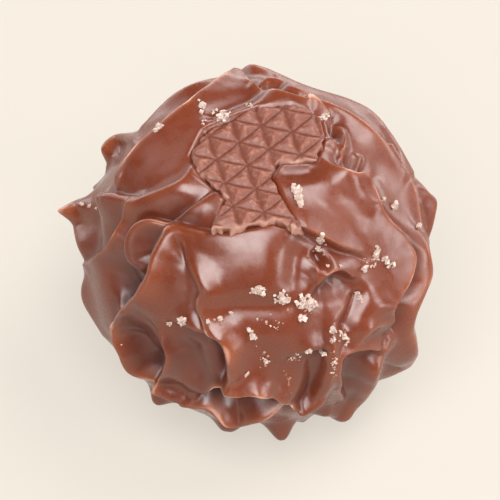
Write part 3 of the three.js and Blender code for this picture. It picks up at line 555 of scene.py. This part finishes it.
def swell_at(directions):
    """Rise of the round swellings and hollows in each direction."""
    rise = np.zeros(len(directions))
    for along, height, radius in FACE_SWELLS.values():
        start, end = unit(face_points(along))
        run = end - start
        share = np.clip((directions - start) @ run / (run @ run), 0, 1)
        gap = np.linalg.norm(directions - start - share[:, None] * run, axis=1) * BALL_RADIUS
        rise += height * np.exp(-(gap / radius) ** 2)
    return rise


# A slanted direction along which no two parts of the chip come level
SORTING = Vector((1.0, 0.618, 0.271))

# Blender takes the offsets of its vector noise from the clock unless they are seeded
NOISE_SEED = 5
noise.seed_set(NOISE_SEED)


def noise_at(points, layers):
    """Smooth noise in layers of so much weight, size of swellings and shift."""
    total = np.zeros(len(points))
    for weight, size, shift in layers:
        total += weight * np.array([noise.noise(Vector(point)) for point in (points + shift) / size])
    return total


def chip_places(places):
    """Places on the face laid level at the height of the chip's grooves."""
    places = np.atleast_2d(np.asarray(places, float))
    back = (places[:, 1] - CHIP_TOP * math.cos(FACE_ELEVATION)) / math.sin(FACE_ELEVATION)
    return np.column_stack((places[:, 0], back))


def outline_distance(points, outline):
    """Distance of level points to a closed outline, negative inside it."""
    distance = np.full(len(points), np.inf)
    inside = np.zeros(len(points), bool)
    for start, end in zip(outline, np.roll(outline, -1, axis=0)):
        run = end - start
        share = np.clip((points - start) @ run / (run @ run), 0, 1)
        distance = np.minimum(distance, np.linalg.norm(points - start - share[:, None] * run, axis=1))
        crosses = (start[1] > points[:, 1]) != (end[1] > points[:, 1])
        rise = run[1] or TINY
        inside ^= crosses & (points[:, 0] < start[0] + (points[:, 1] - start[1]) * run[0] / rise)
    return np.where(inside, -distance, distance)


def sink_under_chip(points, settings):
    """Lowers the coating to the chip's edge and under it, so that the chip lies in a shallow bed."""
    outline = chip_places(CHIP_OUTLINE)
    high = np.flatnonzero(points[:, 2] > CHIP_TOP - BED_REACH)
    distance = outline_distance(points[high, :2], outline)
    limit = CHIP_TOP - settings.chip_show / MM + np.maximum(0, distance) * settings.bed_slope
    limit -= np.minimum(BED_DEPTH, np.maximum(0, -distance))
    over = points[high, 2] - limit
    lowered = points[high, 2] - BED_SOFTNESS * np.logaddexp(0, over / BED_SOFTNESS)
    scale = np.where(over > BED_START, lowered / points[high, 2], 1.0)
    points[high] *= scale[:, None]
    return points


def wandering(directions, settings):
    """Directions that stray a little from place to place, so that no crest runs quite smoothly."""
    stray = settings.crest_stray / MM / BALL_RADIUS
    coarse, fine = (np.array([noise.noise_vector(Vector(point)) for point in directions * BALL_RADIUS / size])
                    for size in (STRAY_SIZE, FINE_STRAY_SIZE))
    return unit(directions + stray * (coarse + FINE_STRAY_SHARE * fine))


def coating_points(directions, settings):
    """The coating's skin in each direction from the ball's middle, and its lip and hollow values there, which
    set the painted glow and highlight on thin lips and the painted shade in deep hollows.
    """
    strayed = wandering(directions, settings)
    height, tip, lip, hollow, *_ = folds_at(strayed, settings.fold_blend)
    swell = swell_at(directions)
    ball = directions * BALL_RADIUS
    level = BALL_RADIUS + height + swell + settings.unevenness / MM * noise_at(ball, SKIN_WAVES)
    lip *= LIP_SHARE + noise_at(ball, LIP_WAVES)
    # Hollows of the face add to the painted shade
    hollow += HOLLOW_SHADE_SHARE * np.maximum(0, -swell)
    points = directions * level[:, None] + tip
    points = sink_under_chip(points, settings)
    below = points[:, 2] < -BALL_CENTRE
    points[below] *= (-BALL_CENTRE / points[below, 2])[:, None]
    return points, lip, hollow


def coating_at_face(places, settings):
    """The coating's skin at places on the face: the height is found in a few rounds."""
    heights = np.full(len(places), TALLEST_FOLD)
    for _ in range(SKIN_ROUNDS):
        skin, *_ = coating_points(unit(face_points(places, heights)), settings)
        heights = (heights + np.linalg.norm(skin, axis=1) - BALL_RADIUS) / 2
    skin, *_ = coating_points(unit(face_points(places, heights)), settings)
    return skin


def drawn_to_crests(directions, settings):
    """Directions moved towards the nearest crest, so that crests run along edges of the mesh."""
    strayed = wandering(directions, settings)
    *_, closest, foot = folds_at(strayed, settings.fold_blend)
    share = settings.vertex_pull * np.exp(-(closest / (settings.vertex_reach / MM)) ** 2)
    return unit(directions + (foot - strayed) * share[:, None])


def scattered(patches, crowd, draw):
    """Places on the face and sizes of the grains in patches, so many for each grain that a patch counts."""
    places, sizes = [], []
    for right, up, length, width, heading, count, size in patches:
        turn = math.radians(heading)
        for _ in range(count * crowd):
            place = draw.normal(0, GRAIN_SPREAD, 2).clip(-GRAIN_LIMIT, GRAIN_LIMIT)
            along, across = place * (length + GRAIN_MARGIN, width + GRAIN_MARGIN)
            places.append((right + along * math.cos(turn) - across * math.sin(turn),
                           up + along * math.sin(turn) + across * math.cos(turn)))
            sizes.append(size * lerp(*GRAIN_SIZES, draw.uniform() ** 2))
    return places, np.array(sizes)


def grain_mesh(name, points, sizes, draw, lift):
    """One mesh of rough grains at points of the coating, each lifted by its own share of its size."""
    grain = bmesh.new()
    bmesh.ops.create_cube(grain, size=GRAIN_CUBE)
    bmesh.ops.subdivide_edges(grain, edges=grain.edges[:], cuts=1, use_grid_fill=True)
    corners = np.array([tuple(vertex.co) for vertex in grain.verts])
    faces = np.array([[vertex.index for vertex in face.verts] for face in grain.faces])
    grain.free()
    all_corners, all_faces = [], []
    for point, size, rise in zip(points, sizes, lift):
        lumps = corners * draw.uniform(*GRAIN_LUMPS, (len(corners), 1))
        lumps = lumps * draw.uniform(*GRAIN_LUMPS, 3) * size
        turn, _ = np.linalg.qr(draw.normal(size=(3, 3)))
        centre = point * (1 + rise * size / np.linalg.norm(point))
        all_faces.append(faces + len(corners) * len(all_corners))
        all_corners.append(lumps @ turn + centre + (0, 0, BALL_CENTRE))
    mesh = bpy.data.meshes.new(name)
    mesh.from_pydata(np.vstack(all_corners) * MM, [], np.vstack(all_faces).tolist())
    return mesh


def new_piece(name, mesh, material, slot, *replaced):
    """An object that rides on the candy, with its material; the solids that it stands for are hidden."""
    piece = bpy.data.objects.new(name, mesh)
    bpy.context.scene.collection.objects.link(piece)
    mesh.materials.append(material)
    mesh.shade_smooth()
    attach(piece, BODY)
    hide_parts(*replaced)
    return piece


def add_node(tree, kind, inputs=(), **settings):
    """Adds a node with its settings; inputs are values or sockets to link from."""
    made = tree.nodes.new(kind)
    for name, value in settings.items():
        setattr(made, name, value)
    for socket, value in dict(inputs).items():
        if isinstance(value, bpy.types.NodeSocket):
            tree.links.new(value, made.inputs[socket])
        else:
            made.inputs[socket].default_value = value
    return made


# Sockets of a mix node that mixes colours
MIX_A, MIX_B, MIXED = 6, 7, 2


def new_material(name):
    material = bpy.data.materials.new(name)
    material.use_nodes = True
    material.node_tree.nodes.clear()
    return material, material.node_tree


def set_milk_chocolate(settings):
    """Tempered milk chocolate that set on a rack: a soft shine, with a painted glow where it is thin, a
    painted highlight along sharp edges and painted shade in the hollows.
    """
    material, tree = new_material("set_milk_chocolate")
    place = add_node(tree, "ShaderNodeTexCoord").outputs["Object"]
    lip = add_node(tree, "ShaderNodeAttribute", attribute_name="lip").outputs["Fac"]
    # Streaks some 4 mm across, as milk chocolate shows that cooled unevenly
    mottle = add_node(tree, "ShaderNodeTexNoise", {"Vector": place, "Scale": 1 / (4 * MM), "Detail": 3.0})
    # Painted shade: the deeper the hollow, the darker its colour is painted and the duller its shine
    hollow = add_node(tree, "ShaderNodeAttribute", attribute_name="hollow").outputs["Fac"]
    deep = add_node(tree, "ShaderNodeMapRange", {
        "Value": hollow, "From Max": 1.3, "To Max": 0.95,
    }).outputs["Result"]
    # A painted glow on thin lips, and a painted highlight along their sharp edges
    thin, edge = (add_node(tree, "ShaderNodeMapRange", {
        "Value": lip, "From Min": least, "From Max": 0.9,
    }).outputs["Result"] for least in (0.1, 0.55))
    # Streaks over the body, painted shade in the hollows, a painted glow where it is thin and a painted
    # highlight along a sharp edge
    colour = (*settings.chocolate_deep, 1)
    for share, shade in (
        (mottle.outputs["Fac"], settings.chocolate), (deep, settings.chocolate_painted_shade),
        (thin, settings.chocolate_lip_glow), (edge, settings.chocolate_edge_highlight),
    ):
        colour = add_node(tree, "ShaderNodeMix", {
            "Factor": share, MIX_A: colour, MIX_B: (*shade, 1),
        }, data_type="RGBA").outputs[MIXED]
    # The shine varies over about a millimetre, where the skin of the chocolate is a little uneven
    grain = add_node(tree, "ShaderNodeTexNoise", {"Vector": place, "Scale": 1 / (0.9 * MM), "Detail": 4.0})
    shine = add_node(tree, "ShaderNodeMapRange", {
        "Value": grain.outputs["Fac"], "From Min": 0.3, "From Max": 0.7, "To Min": 0.22, "To Max": 0.34,
    })
    dull = add_node(tree, "ShaderNodeMix", {"Factor": deep, "A": shine.outputs["Result"], "B": 0.42})
    bump = add_node(tree, "ShaderNodeBump", {
        "Height": grain.outputs["Fac"], "Strength": 0.25, "Distance": 0.06 * MM,
    })
    shader = add_node(tree, "ShaderNodeBsdfPrincipled", {
        "Base Color": colour, "Roughness": dull.outputs["Result"],
        "Normal": bump.outputs["Normal"], "IOR": 1.47, "Specular IOR Level": 0.8,
        "Subsurface Weight": 0.08, "Subsurface Radius": (1.0, 0.4, 0.22), "Subsurface Scale": 0.3 * MM,
        "Sheen Weight": 0.06, "Sheen Roughness": 0.4, "Sheen Tint": (0.86, 0.8, 0.9, 1.0),
    })
    add_node(tree, "ShaderNodeOutputMaterial", {"Surface": shader.outputs["BSDF"]})
    return material


def moulded_chocolate(settings):
    """Milk chocolate from an embossed mould: satin on its face, rough and paler where it broke."""
    material, tree = new_material("moulded_milk_chocolate")
    place = add_node(tree, "ShaderNodeTexCoord").outputs["Object"]
    broken = add_node(tree, "ShaderNodeAttribute", attribute_name="broken").outputs["Fac"]
    groove = add_node(tree, "ShaderNodeAttribute", attribute_name="groove").outputs["Fac"]
    # Grain of a third of a millimetre, coarser than the real one so that it shows
    grain = add_node(tree, "ShaderNodeTexNoise", {"Vector": place, "Scale": 1 / (0.35 * MM), "Detail": 5.0})
    rubbed = add_node(tree, "ShaderNodeMapRange", {
        "Value": grain.outputs["Fac"], "From Min": 0.5, "From Max": 0.75, "To Max": 0.7,
    }).outputs["Result"]
    # Painted shade in the grooves, broken up by the grain
    painted_groove_shade = add_node(tree, "ShaderNodeMath", {
        0: groove, 1: grain.outputs["Fac"],
    }, operation="MULTIPLY").outputs["Value"]
    # Rubbed specks over the moulded face, painted shade in the grooves and a pale break
    colour = (*settings.moulded, 1)
    for share, shade in ((rubbed, settings.worn), (painted_groove_shade, settings.groove), (broken, settings.broken)):
        colour = add_node(tree, "ShaderNodeMix", {
            "Factor": share, MIX_A: colour, MIX_B: (*shade, 1),
        }, data_type="RGBA").outputs[MIXED]
    bump = add_node(tree, "ShaderNodeBump", {
        "Height": grain.outputs["Fac"], "Strength": 0.4, "Distance": 0.05 * MM,
    })
    shader = add_node(tree, "ShaderNodeBsdfPrincipled", {
        "Base Color": colour, "Roughness": 0.45, "Normal": bump.outputs["Normal"], "IOR": 1.47,
        "Subsurface Weight": 0.05, "Subsurface Radius": (1.0, 0.4, 0.22), "Subsurface Scale": 0.2 * MM,
    })
    add_node(tree, "ShaderNodeOutputMaterial", {"Surface": shader.outputs["BSDF"]})
    return material


def crushed_salt(settings):
    """Crushed flake salt: clear crystals that look white as light scatters between their broken faces."""
    material, tree = new_material("crushed_flake_salt")
    place = add_node(tree, "ShaderNodeTexCoord").outputs["Object"]
    # Cloudy patches of about a crystal's own size
    cloud = add_node(tree, "ShaderNodeTexNoise", {"Vector": place, "Scale": 1 / (0.3 * MM), "Detail": 2.0})
    colour = add_node(tree, "ShaderNodeMix", {
        "Factor": cloud.outputs["Fac"], MIX_A: (*settings.salt_shade, 1), MIX_B: (*settings.salt, 1),
    }, data_type="RGBA")
    shader = add_node(tree, "ShaderNodeBsdfPrincipled", {
        "Base Color": colour.outputs[MIXED], "Roughness": 0.3, "IOR": 1.54,
        "Subsurface Weight": 0.4, "Subsurface Radius": (1.0, 0.9, 0.8), "Subsurface Scale": 0.15 * MM,
    })
    add_node(tree, "ShaderNodeOutputMaterial", {"Surface": shader.outputs["BSDF"]})
    return material


def colour_property(name, description, hex_colour):
    """A colour that a user may change."""
    return FloatVectorProperty(name=name, description=description, size=3, subtype="COLOR",
                               default=linear(hex_colour))


def length_property(name, description, millimetres):
    """A length that a user may change."""
    return FloatProperty(name=name, description=description, default=millimetres * MM, unit="LENGTH")


class CoatingSettings(PropertyGroup):
    cells: IntProperty(
        name="Cells", description="Quads along each edge of the cube that the coating is rounded from",
        default=128, min=8)
    fold_blend: FloatProperty(
        name="Fold blend", description="How firmly the highest of two crossing folds wins", default=4.0)
    crest_stray: length_property("Crest stray", "How far crests stray from a smooth run", 0.14)
    unevenness: length_property("Unevenness", "Height of the soft waves between the folds", 0.06)
    face_share: FloatProperty(
        name="Cells on the face", description="How far the cells crowd onto the side that shows",
        default=0.3, subtype="FACTOR")
    vertex_pull: FloatProperty(
        name="Vertex pull", description="Share by which vertices move onto a crest",
        default=0.5, subtype="FACTOR")
    vertex_reach: length_property("Vertex reach", "How near to a crest vertices move onto it", 0.5)
    chip_show: length_property("Chip showing", "How far the chip stands out of the coating", 0.5)
    bed_slope: FloatProperty(
        name="Bed slope", description="Steepest rise of the coating away from the chip", default=2.0)
    chocolate: colour_property("Chocolate", "Milk chocolate in the open", "#713218")
    chocolate_deep: colour_property("Deep chocolate", "Darker streaks of milk chocolate", "#5D230C")
    # Painted shade that darkens the hollows of the coating
    chocolate_painted_shade: colour_property("Pooled chocolate", "Thick chocolate in the hollows", "#3E0E04")
    # Painted glow of light through the thin lips
    chocolate_lip_glow: colour_property("Thin chocolate", "Chocolate drawn out thin", "#8F4A27")
    # Painted highlight along the sharp edges of the lips
    chocolate_edge_highlight: colour_property("Chocolate edge", "Sharp pale edge of a lip", "#BE8D78")


class ChipSettings(PropertyGroup):
    splits: IntProperty(
        name="Splits", description="Parts that each side of a triangle of the pattern is split in",
        default=18, min=3)
    edge_step: length_property("Edge step", "Distance between points of the broken edge", 0.12)
    edge_roughness: length_property("Edge roughness", "How far the broken edge strays", 0.15)
    # Painted shade at the bottom of the grooves: its width and its colour
    groove_width: length_property("Groove width", "Width of the dark bottom of each groove", 0.16)
    groove: colour_property("Groove", "Chocolate at the bottom of the grooves", "#42190C")
    worn: colour_property("Worn chocolate", "Paler specks where the face is rubbed", "#A9745C")
    moulded: colour_property("Moulded chocolate", "Face of the chip", "#733A28")
    broken: colour_property("Broken chocolate", "Broken edge of the chip", "#A47868")


class SaltSettings(PropertyGroup):
    crowd: IntProperty(
        name="Crowd", description="Small crystals for each crystal of the solids", default=5, min=1)
    salt: colour_property("Salt", "Bright faces of the salt", "#CFBDB3")
    salt_shade: colour_property("Salt shade", "Clearer parts of the salt", "#A98C7D")


# The picture is so many pixels wide, so many of them to a millimetre, and the ball's middle lies so many
# right of the picture's middle and below it
PICTURE_PIXELS = 500
PIXELS_PER_MM = 12
BALL_RIGHT = 6
BALL_BELOW = 4

# The stage in metres: half the floor's width, and each light's place, its size and its power in watts
FLOOR_REACH = 3.0
LIGHTS = {
    "key_softbox": ((0.2, 0.08, 0.37), (0.24, 0.24), 1.2),
    "front_softbox": ((-0.04, -0.24, 0.4), (0.34, 0.34), 3.1),
    "right_panel": ((0.4, -0.19, 0.27), (0.16, 0.16), 0.6),
    "left_panel": ((-0.55, 0.4, 0.08), (0.4, 0.14), 0.7),
    "front_left_panel": ((-0.26, -0.38, 0.1), (0.16, 0.12), 0.1),
    "front_right_panel": ((0.46, -0.24, 0.09), (0.14, 0.12), 0.4),
    "back_panel": ((0.15, 0.65, 0.11), (1.4, 0.16), 3.0),
    "back_left_panel": ((-0.5, 0.52, 0.36), (0.6, 0.45), 1.2),
    "right_wall": ((0.5, 0.2, 0.28), (0.4, 0.35), 0.45),
    "right_low_panel": ((0.55, 0.2, 0.07), (0.3, 0.14), 0.5),
}

# The surroundings are a nearly neutral white, brighter at the horizon than from this height up
SKY_COLOUR = (0.98, 0.98, 1, 1)
SKY_LEVELS = (0.35, 0.12)
SKY_EVEN_FROM = 0.5


class StageSettings(PropertyGroup):
    floor: colour_property("Floor", "Pale floor", "#7C776F")
    floor_glow: colour_property("Floor glow", "Light that comes up through the floor", "#F6EEE3")
    glow: FloatProperty(name="Glow", description="Strength of the light through the floor", default=0.6)
    lens: FloatProperty(
        name="Lens", description="Focal length", default=600.0, subtype="DISTANCE_CAMERA")
    picture_width: length_property(
        "Picture width", "Width of the picture at the candy's middle", PICTURE_PIXELS / PIXELS_PER_MM)


class CANDY_OT_coating(Operator):
    """Makes the rough chocolate coating with its folds, lips and spikes"""

    bl_idname = "candy.coating"
    bl_label = "Chocolate coating"

    def execute(self, context):
        settings = context.scene.candy_coating
        ball = bmesh.new()
        bmesh.ops.create_cube(ball, size=2)
        bmesh.ops.subdivide_edges(ball, edges=ball.edges[:], cuts=settings.cells - 1, use_grid_fill=True)
        mesh = bpy.data.meshes.new("chocolate_coating")
        ball.to_mesh(mesh)
        ball.free()
        flat = np.empty(len(mesh.vertices) * 3)
        mesh.vertices.foreach_get("co", flat)
        # The tangent spreads the cube's cells evenly over the ball
        directions = unit(np.tan(flat.reshape(-1, 3) * math.pi / 4))
        directions = unit(directions + settings.face_share * FACE_OUT)
        points, lip, hollow = coating_points(drawn_to_crests(directions, settings), settings)
        points[:, 2] += BALL_CENTRE
        mesh.vertices.foreach_set("co", (points * MM).ravel())
        # The lip value sets the painted glow and highlight along the crests, the hollow value the painted
        # shade in the hollows
        mesh.attributes.new("lip", "FLOAT", "POINT").data.foreach_set("value", np.clip(lip, 0, 1))
        mesh.attributes.new("hollow", "FLOAT", "POINT").data.foreach_set("value", hollow)
        new_piece("chocolate_coating", mesh, set_milk_chocolate(settings), "milk_chocolate", "truffle")
        return {"FINISHED"}


class CANDY_OT_chip(Operator):
    """Makes the embossed chip with its field of small pyramids and its broken edge"""

    bl_idname = "candy.chip"
    bl_label = "Embossed chip"

    def execute(self, context):
        settings = context.scene.candy_chip
        outline = self.broken_outline(settings)
        lattice = self.pattern_points(settings, outline)
        corners = [Vector(point) for point in (*outline, *lattice)]
        edges = [(index, (index + 1) % len(outline)) for index in range(len(outline))]
        points, _, faces, *_ = geometry.delaunay_2d_cdt(corners, edges, [], INSIDE_ONLY, SAME_POINT)
        level = np.array([tuple(point) for point in points])
        distance = -outline_distance(level, outline)
        share = self.height_share(level)
        raised = np.column_stack((level, np.zeros(len(level))))
        heights = CHIP_TOP + CHIP_RELIEF * share ** CHIP_BULGE + noise_at(raised, CHIP_WEAR)
        heights -= CHIP_FALL * np.exp(-distance / CHIP_FALL_WIDTH)
        chip = bmesh.new()
        broken = chip.verts.layers.float.new("broken")
        groove = chip.verts.layers.float.new("groove")
        top = [chip.verts.new((x, y, z)) for (x, y), z in zip(level, heights)]
        for face in faces:
            chip.faces.new([top[index] for index in face])
        # The groove value paints shade at the bottom of each groove
        side_to_peak = CHIP_PITCH * math.sqrt(3) / 6
        for vertex, gap in zip(top, share * side_to_peak):
            vertex[groove] = math.exp(-gap / (settings.groove_width / MM))
        self.break_edge(chip)
        self.mark_breaks(chip, broken, outline)
        bmesh.ops.recalc_face_normals(chip, faces=chip.faces[:])
        to_metres = Matrix.Scale(MM, 4) @ Matrix.Translation((0, 0, BALL_CENTRE))
        bmesh.ops.transform(chip, matrix=to_metres, verts=chip.verts[:])
        mesh = bpy.data.meshes.new("chip")
        chip.to_mesh(mesh)
        chip.free()
        new_piece("chip", mesh, moulded_chocolate(settings), "moulded_chocolate", "embossed_chip")
        return {"FINISHED"}

    def broken_outline(self, settings):
        """The chip's outline in short steps that stray a little, as a break does."""
        corners = chip_places(CHIP_OUTLINE)
        points = []
        for start, end in zip(corners, np.roll(corners, -1, axis=0)):
            count = max(1, round(np.linalg.norm(end - start) / (settings.edge_step / MM)))
            points.extend(lerp(start, end, index / count) for index in range(count))
        points = np.array(points)
        around = np.roll(points, -1, axis=0) - np.roll(points, 1, axis=0)
        outward = unit(np.column_stack((-around[:, 1], around[:, 0])))
        raised = np.column_stack((points, np.zeros(len(points))))
        stray = noise_at(raised, CHIP_EDGE_STRAY) * settings.edge_roughness / MM
        return points + outward * stray[:, None]

    def pattern_axes(self):
        """Where the pattern starts, and the two sides of its triangles."""
        start = chip_places(CHIP_PATTERN_AT)[0]
        turns = (CHIP_TURN, CHIP_TURN + math.pi / 3)
        return start, np.array([(math.cos(turn), math.sin(turn)) for turn in turns]) * CHIP_PITCH

    def pattern_points(self, settings, outline):
        """Points of a fine triangle grid that follows the pattern, inside the outline."""
        start, axes = self.pattern_axes()
        reach = CHIP_REPEATS * settings.splits
        steps = np.arange(-reach, reach) / settings.splits
        across, along = np.meshgrid(steps, steps)
        grid = start + np.column_stack((across.ravel(), along.ravel())) @ axes
        return grid[outline_distance(grid, outline) < -CHIP_MARGIN]

    def height_share(self, level):
        """Share of the full height that the low three-sided pyramids have at level places."""
        start, axes = self.pattern_axes()
        place = (level - start) @ np.linalg.inv(axes)
        share = place - np.floor(place)
        upper = share.sum(axis=1) > 1
        share[upper] = 1 - share[upper]
        thirds = np.column_stack((share, 1 - share.sum(axis=1)))
        return np.maximum(0, thirds.min(axis=1) * 3)

    def mark_breaks(self, chip, broken, outline):
        """Marks the fresh break, which is the edge that faces the front; the edge at the back is moulded."""
        chip.verts.ensure_lookup_table()
        level = np.array([vertex.co[:2] for vertex in chip.verts])
        inner = np.maximum(0, -outline_distance(level, outline))
        before, behind = (outline_distance(level + step, outline) for step in (-FACING_STEP, FACING_STEP))
        fresh = np.clip((before - behind) / np.linalg.norm(FACING_STEP) / 2, MOULDED_EDGE, 1)
        for vertex, depth, share in zip(chip.verts, inner, fresh):
            vertex[broken] = share * math.exp(-depth / BREAK_WIDTH)

    def break_edge(self, chip):
        """Carries the rim down to the underside in rough steps, and closes the underside."""
        coarse, coarse_reach = BREAK_COARSE
        fine, fine_reach = BREAK_FINE
        rim = [edge for edge in chip.edges if edge.is_boundary]
        for step in range(BREAK_STEPS):
            made = bmesh.ops.extrude_edge_only(chip, edges=rim)["geom"]
            rim = [item for item in made if isinstance(item, bmesh.types.BMEdge) and item.is_boundary]
            for vertex in (item for item in made if isinstance(item, bmesh.types.BMVert)):
                stray = noise.noise_vector(vertex.co / coarse + Vector((0, 0, step / 2))) * coarse_reach
                stray += noise.noise_vector(vertex.co / fine + Vector((0, 0, step))) * fine_reach
                vertex.co += Vector((stray.x, stray.y, 0))
                target = lerp(CHIP_TOP, CHIP_TOP - CHIP_THICKNESS, (step + 1) / BREAK_STEPS)
                vertex.co.z = target if step + 1 == BREAK_STEPS else target + stray.z
        bmesh.ops.edgeloop_fill(chip, edges=rim)
        # Extruding leaves the new parts in no fixed order, so they are put in one from side to side
        chip.verts.sort(key=lambda vertex: vertex.co.dot(SORTING))
        chip.faces.sort(key=lambda face: face.calc_center_median().dot(SORTING))


class CANDY_OT_salt(Operator):
    """Makes the piles of crushed salt"""

    bl_idname = "candy.salt"
    bl_label = "Salt crystals"

    def execute(self, context):
        settings = context.scene.candy_salt
        draw = np.random.default_rng(SALT_SEED)
        places, sizes = scattered((*SALT_PILES, *SALT_SPECKS), settings.crowd, draw)
        points = coating_at_face(places, context.scene.candy_coating)
        lift = draw.uniform(*SALT_LIFT, len(sizes))
        mesh = grain_mesh("salt_crystals", points, sizes, draw, lift)
        new_piece("salt_crystals", mesh, crushed_salt(settings), "salt", "truffle")
        mesh.shade_flat()
        return {"FINISHED"}


class CANDY_OT_crumbs(Operator):
    """Makes the crumbs of chocolate that stick to the coating"""

    bl_idname = "candy.crumbs"
    bl_label = "Chocolate crumbs"

    def execute(self, context):
        settings = context.scene.candy_coating
        draw = np.random.default_rng(CRUMB_SEED)
        places, sizes = scattered(CRUMB_PATCHES, 1, draw)
        points = coating_at_face(places, settings)
        lift = draw.uniform(*CRUMB_LIFT, len(sizes))
        mesh = grain_mesh("chocolate_crumbs", points, sizes, draw, lift)
        # The crumbs take the lips' painted glow and painted highlight colours
        pale = np.full(len(mesh.vertices), CRUMB_LIP)
        mesh.attributes.new("lip", "FLOAT", "POINT").data.foreach_set("value", pale)
        material = bpy.data.materials["set_milk_chocolate"]
        new_piece("chocolate_crumbs", mesh, material, "milk_chocolate", "truffle")
        return {"FINISHED"}


class CANDY_OT_stage(Operator):
    """Makes the pale floor, the soft light and the camera"""

    bl_idname = "candy.stage"
    bl_label = "Stage"

    def execute(self, context):
        settings = context.scene.candy_stage
        scene = context.scene
        self.floor(settings)
        self.lights(scene)
        self.camera(scene, settings)
        scene.view_settings.view_transform = "Standard"
        return {"FINISHED"}

    def floor(self, settings):
        mesh = bpy.data.meshes.new("floor")
        reach = FLOOR_REACH
        corners = ((-reach, -reach, 0), (reach, -reach, 0), (reach, reach, 0), (-reach, reach, 0))
        mesh.from_pydata(corners, [], [(0, 1, 2, 3)])
        material, tree = new_material("pale_floor")
        shader = add_node(tree, "ShaderNodeBsdfPrincipled", {
            "Base Color": (*settings.floor, 1), "Roughness": 0.9, "Specular IOR Level": 0.0,
            "Emission Color": (*settings.floor_glow, 1), "Emission Strength": settings.glow,
        })
        add_node(tree, "ShaderNodeOutputMaterial", {"Surface": shader.outputs["BSDF"]})
        mesh.materials.append(material)
        floor = bpy.data.objects.new("floor", mesh)
        bpy.context.scene.collection.objects.link(floor)

    def lights(self, scene):
        world = bpy.data.worlds.new("studio")
        world.use_nodes = True
        tree = world.node_tree
        tree.nodes.clear()
        place = add_node(tree, "ShaderNodeTexCoord").outputs["Generated"]
        height = add_node(tree, "ShaderNodeSeparateXYZ", {"Vector": place}).outputs["Z"]
        level = add_node(tree, "ShaderNodeMapRange", {
            "Value": height, "From Min": 0.0, "From Max": SKY_EVEN_FROM,
            "To Min": SKY_LEVELS[0], "To Max": SKY_LEVELS[1],
        }, interpolation_type="SMOOTHSTEP").outputs["Result"]
        sky = add_node(tree, "ShaderNodeBackground", {"Color": SKY_COLOUR, "Strength": level})
        add_node(tree, "ShaderNodeOutputWorld", {"Surface": sky.outputs["Background"]})
        scene.world = world
        target = Vector((0, 0, BALL_CENTRE * MM))
        for name, (place, size, power) in LIGHTS.items():
            light = bpy.data.lights.new(name, "AREA")
            light.shape = "RECTANGLE"
            light.size, light.size_y = size
            light.energy = power
            lamp = bpy.data.objects.new(name, light)
            lamp.location = place
            lamp.rotation_euler = (target - Vector(place)).to_track_quat("-Z", "Y").to_euler()
            scene.collection.objects.link(lamp)

    def camera(self, scene, settings):
        data = bpy.data.cameras.new("camera")
        data.lens = settings.lens
        camera = bpy.data.objects.new("camera", data)
        scene.collection.objects.link(camera)
        right, up, out = Vector(FACE_RIGHT), Vector(FACE_UP), Vector(FACE_OUT)
        pixel = settings.picture_width / PICTURE_PIXELS
        aim = Vector((0, 0, BALL_CENTRE * MM)) - right * BALL_RIGHT * pixel + up * BALL_BELOW * pixel
        distance = settings.picture_width * data.lens / data.sensor_width
        camera.location = aim + out * distance
        camera.rotation_euler = (-out).to_track_quat("-Z", "Y").to_euler()
        scene.camera = camera


class CANDY_PT_panel(Panel):
    """Lists the pieces of the candy and their settings"""

    bl_idname = "CANDY_PT_panel"
    bl_label = "Candy"
    bl_space_type = "VIEW_3D"
    bl_region_type = "UI"
    bl_category = "Candy"

    def draw(self, context):
        for group, operator in (("candy_coating", CANDY_OT_coating), ("candy_chip", CANDY_OT_chip),
                                ("candy_salt", CANDY_OT_salt), ("candy_stage", CANDY_OT_stage)):
            box = self.layout.box()
            box.operator(operator.bl_idname)
            if operator is CANDY_OT_coating:
                box.operator(CANDY_OT_crumbs.bl_idname)
            settings = getattr(context.scene, group)
            for name in settings.bl_rna.properties.keys():
                if name not in ("rna_type", "name"):
                    box.prop(settings, name)


GROUPS = {
    "candy_coating": CoatingSettings,
    "candy_chip": ChipSettings,
    "candy_salt": SaltSettings,
    "candy_stage": StageSettings,
}
CLASSES = (*GROUPS.values(), CANDY_OT_coating, CANDY_OT_chip, CANDY_OT_salt, CANDY_OT_crumbs,
           CANDY_OT_stage, CANDY_PT_panel)


def register():
    for entry in CLASSES:
        bpy.utils.register_class(entry)
    for name, group in GROUPS.items():
        setattr(bpy.types.Scene, name, PointerProperty(type=group))


def unregister():
    for name in GROUPS:
        delattr(bpy.types.Scene, name)
    for entry in reversed(CLASSES):
        bpy.utils.unregister_class(entry)


def main():
    register()
    bpy.ops.candy.coating()
    bpy.ops.candy.chip()
    bpy.ops.candy.salt()
    bpy.ops.candy.crumbs()
    bpy.ops.candy.stage()


if __name__ == "__main__":
    main()
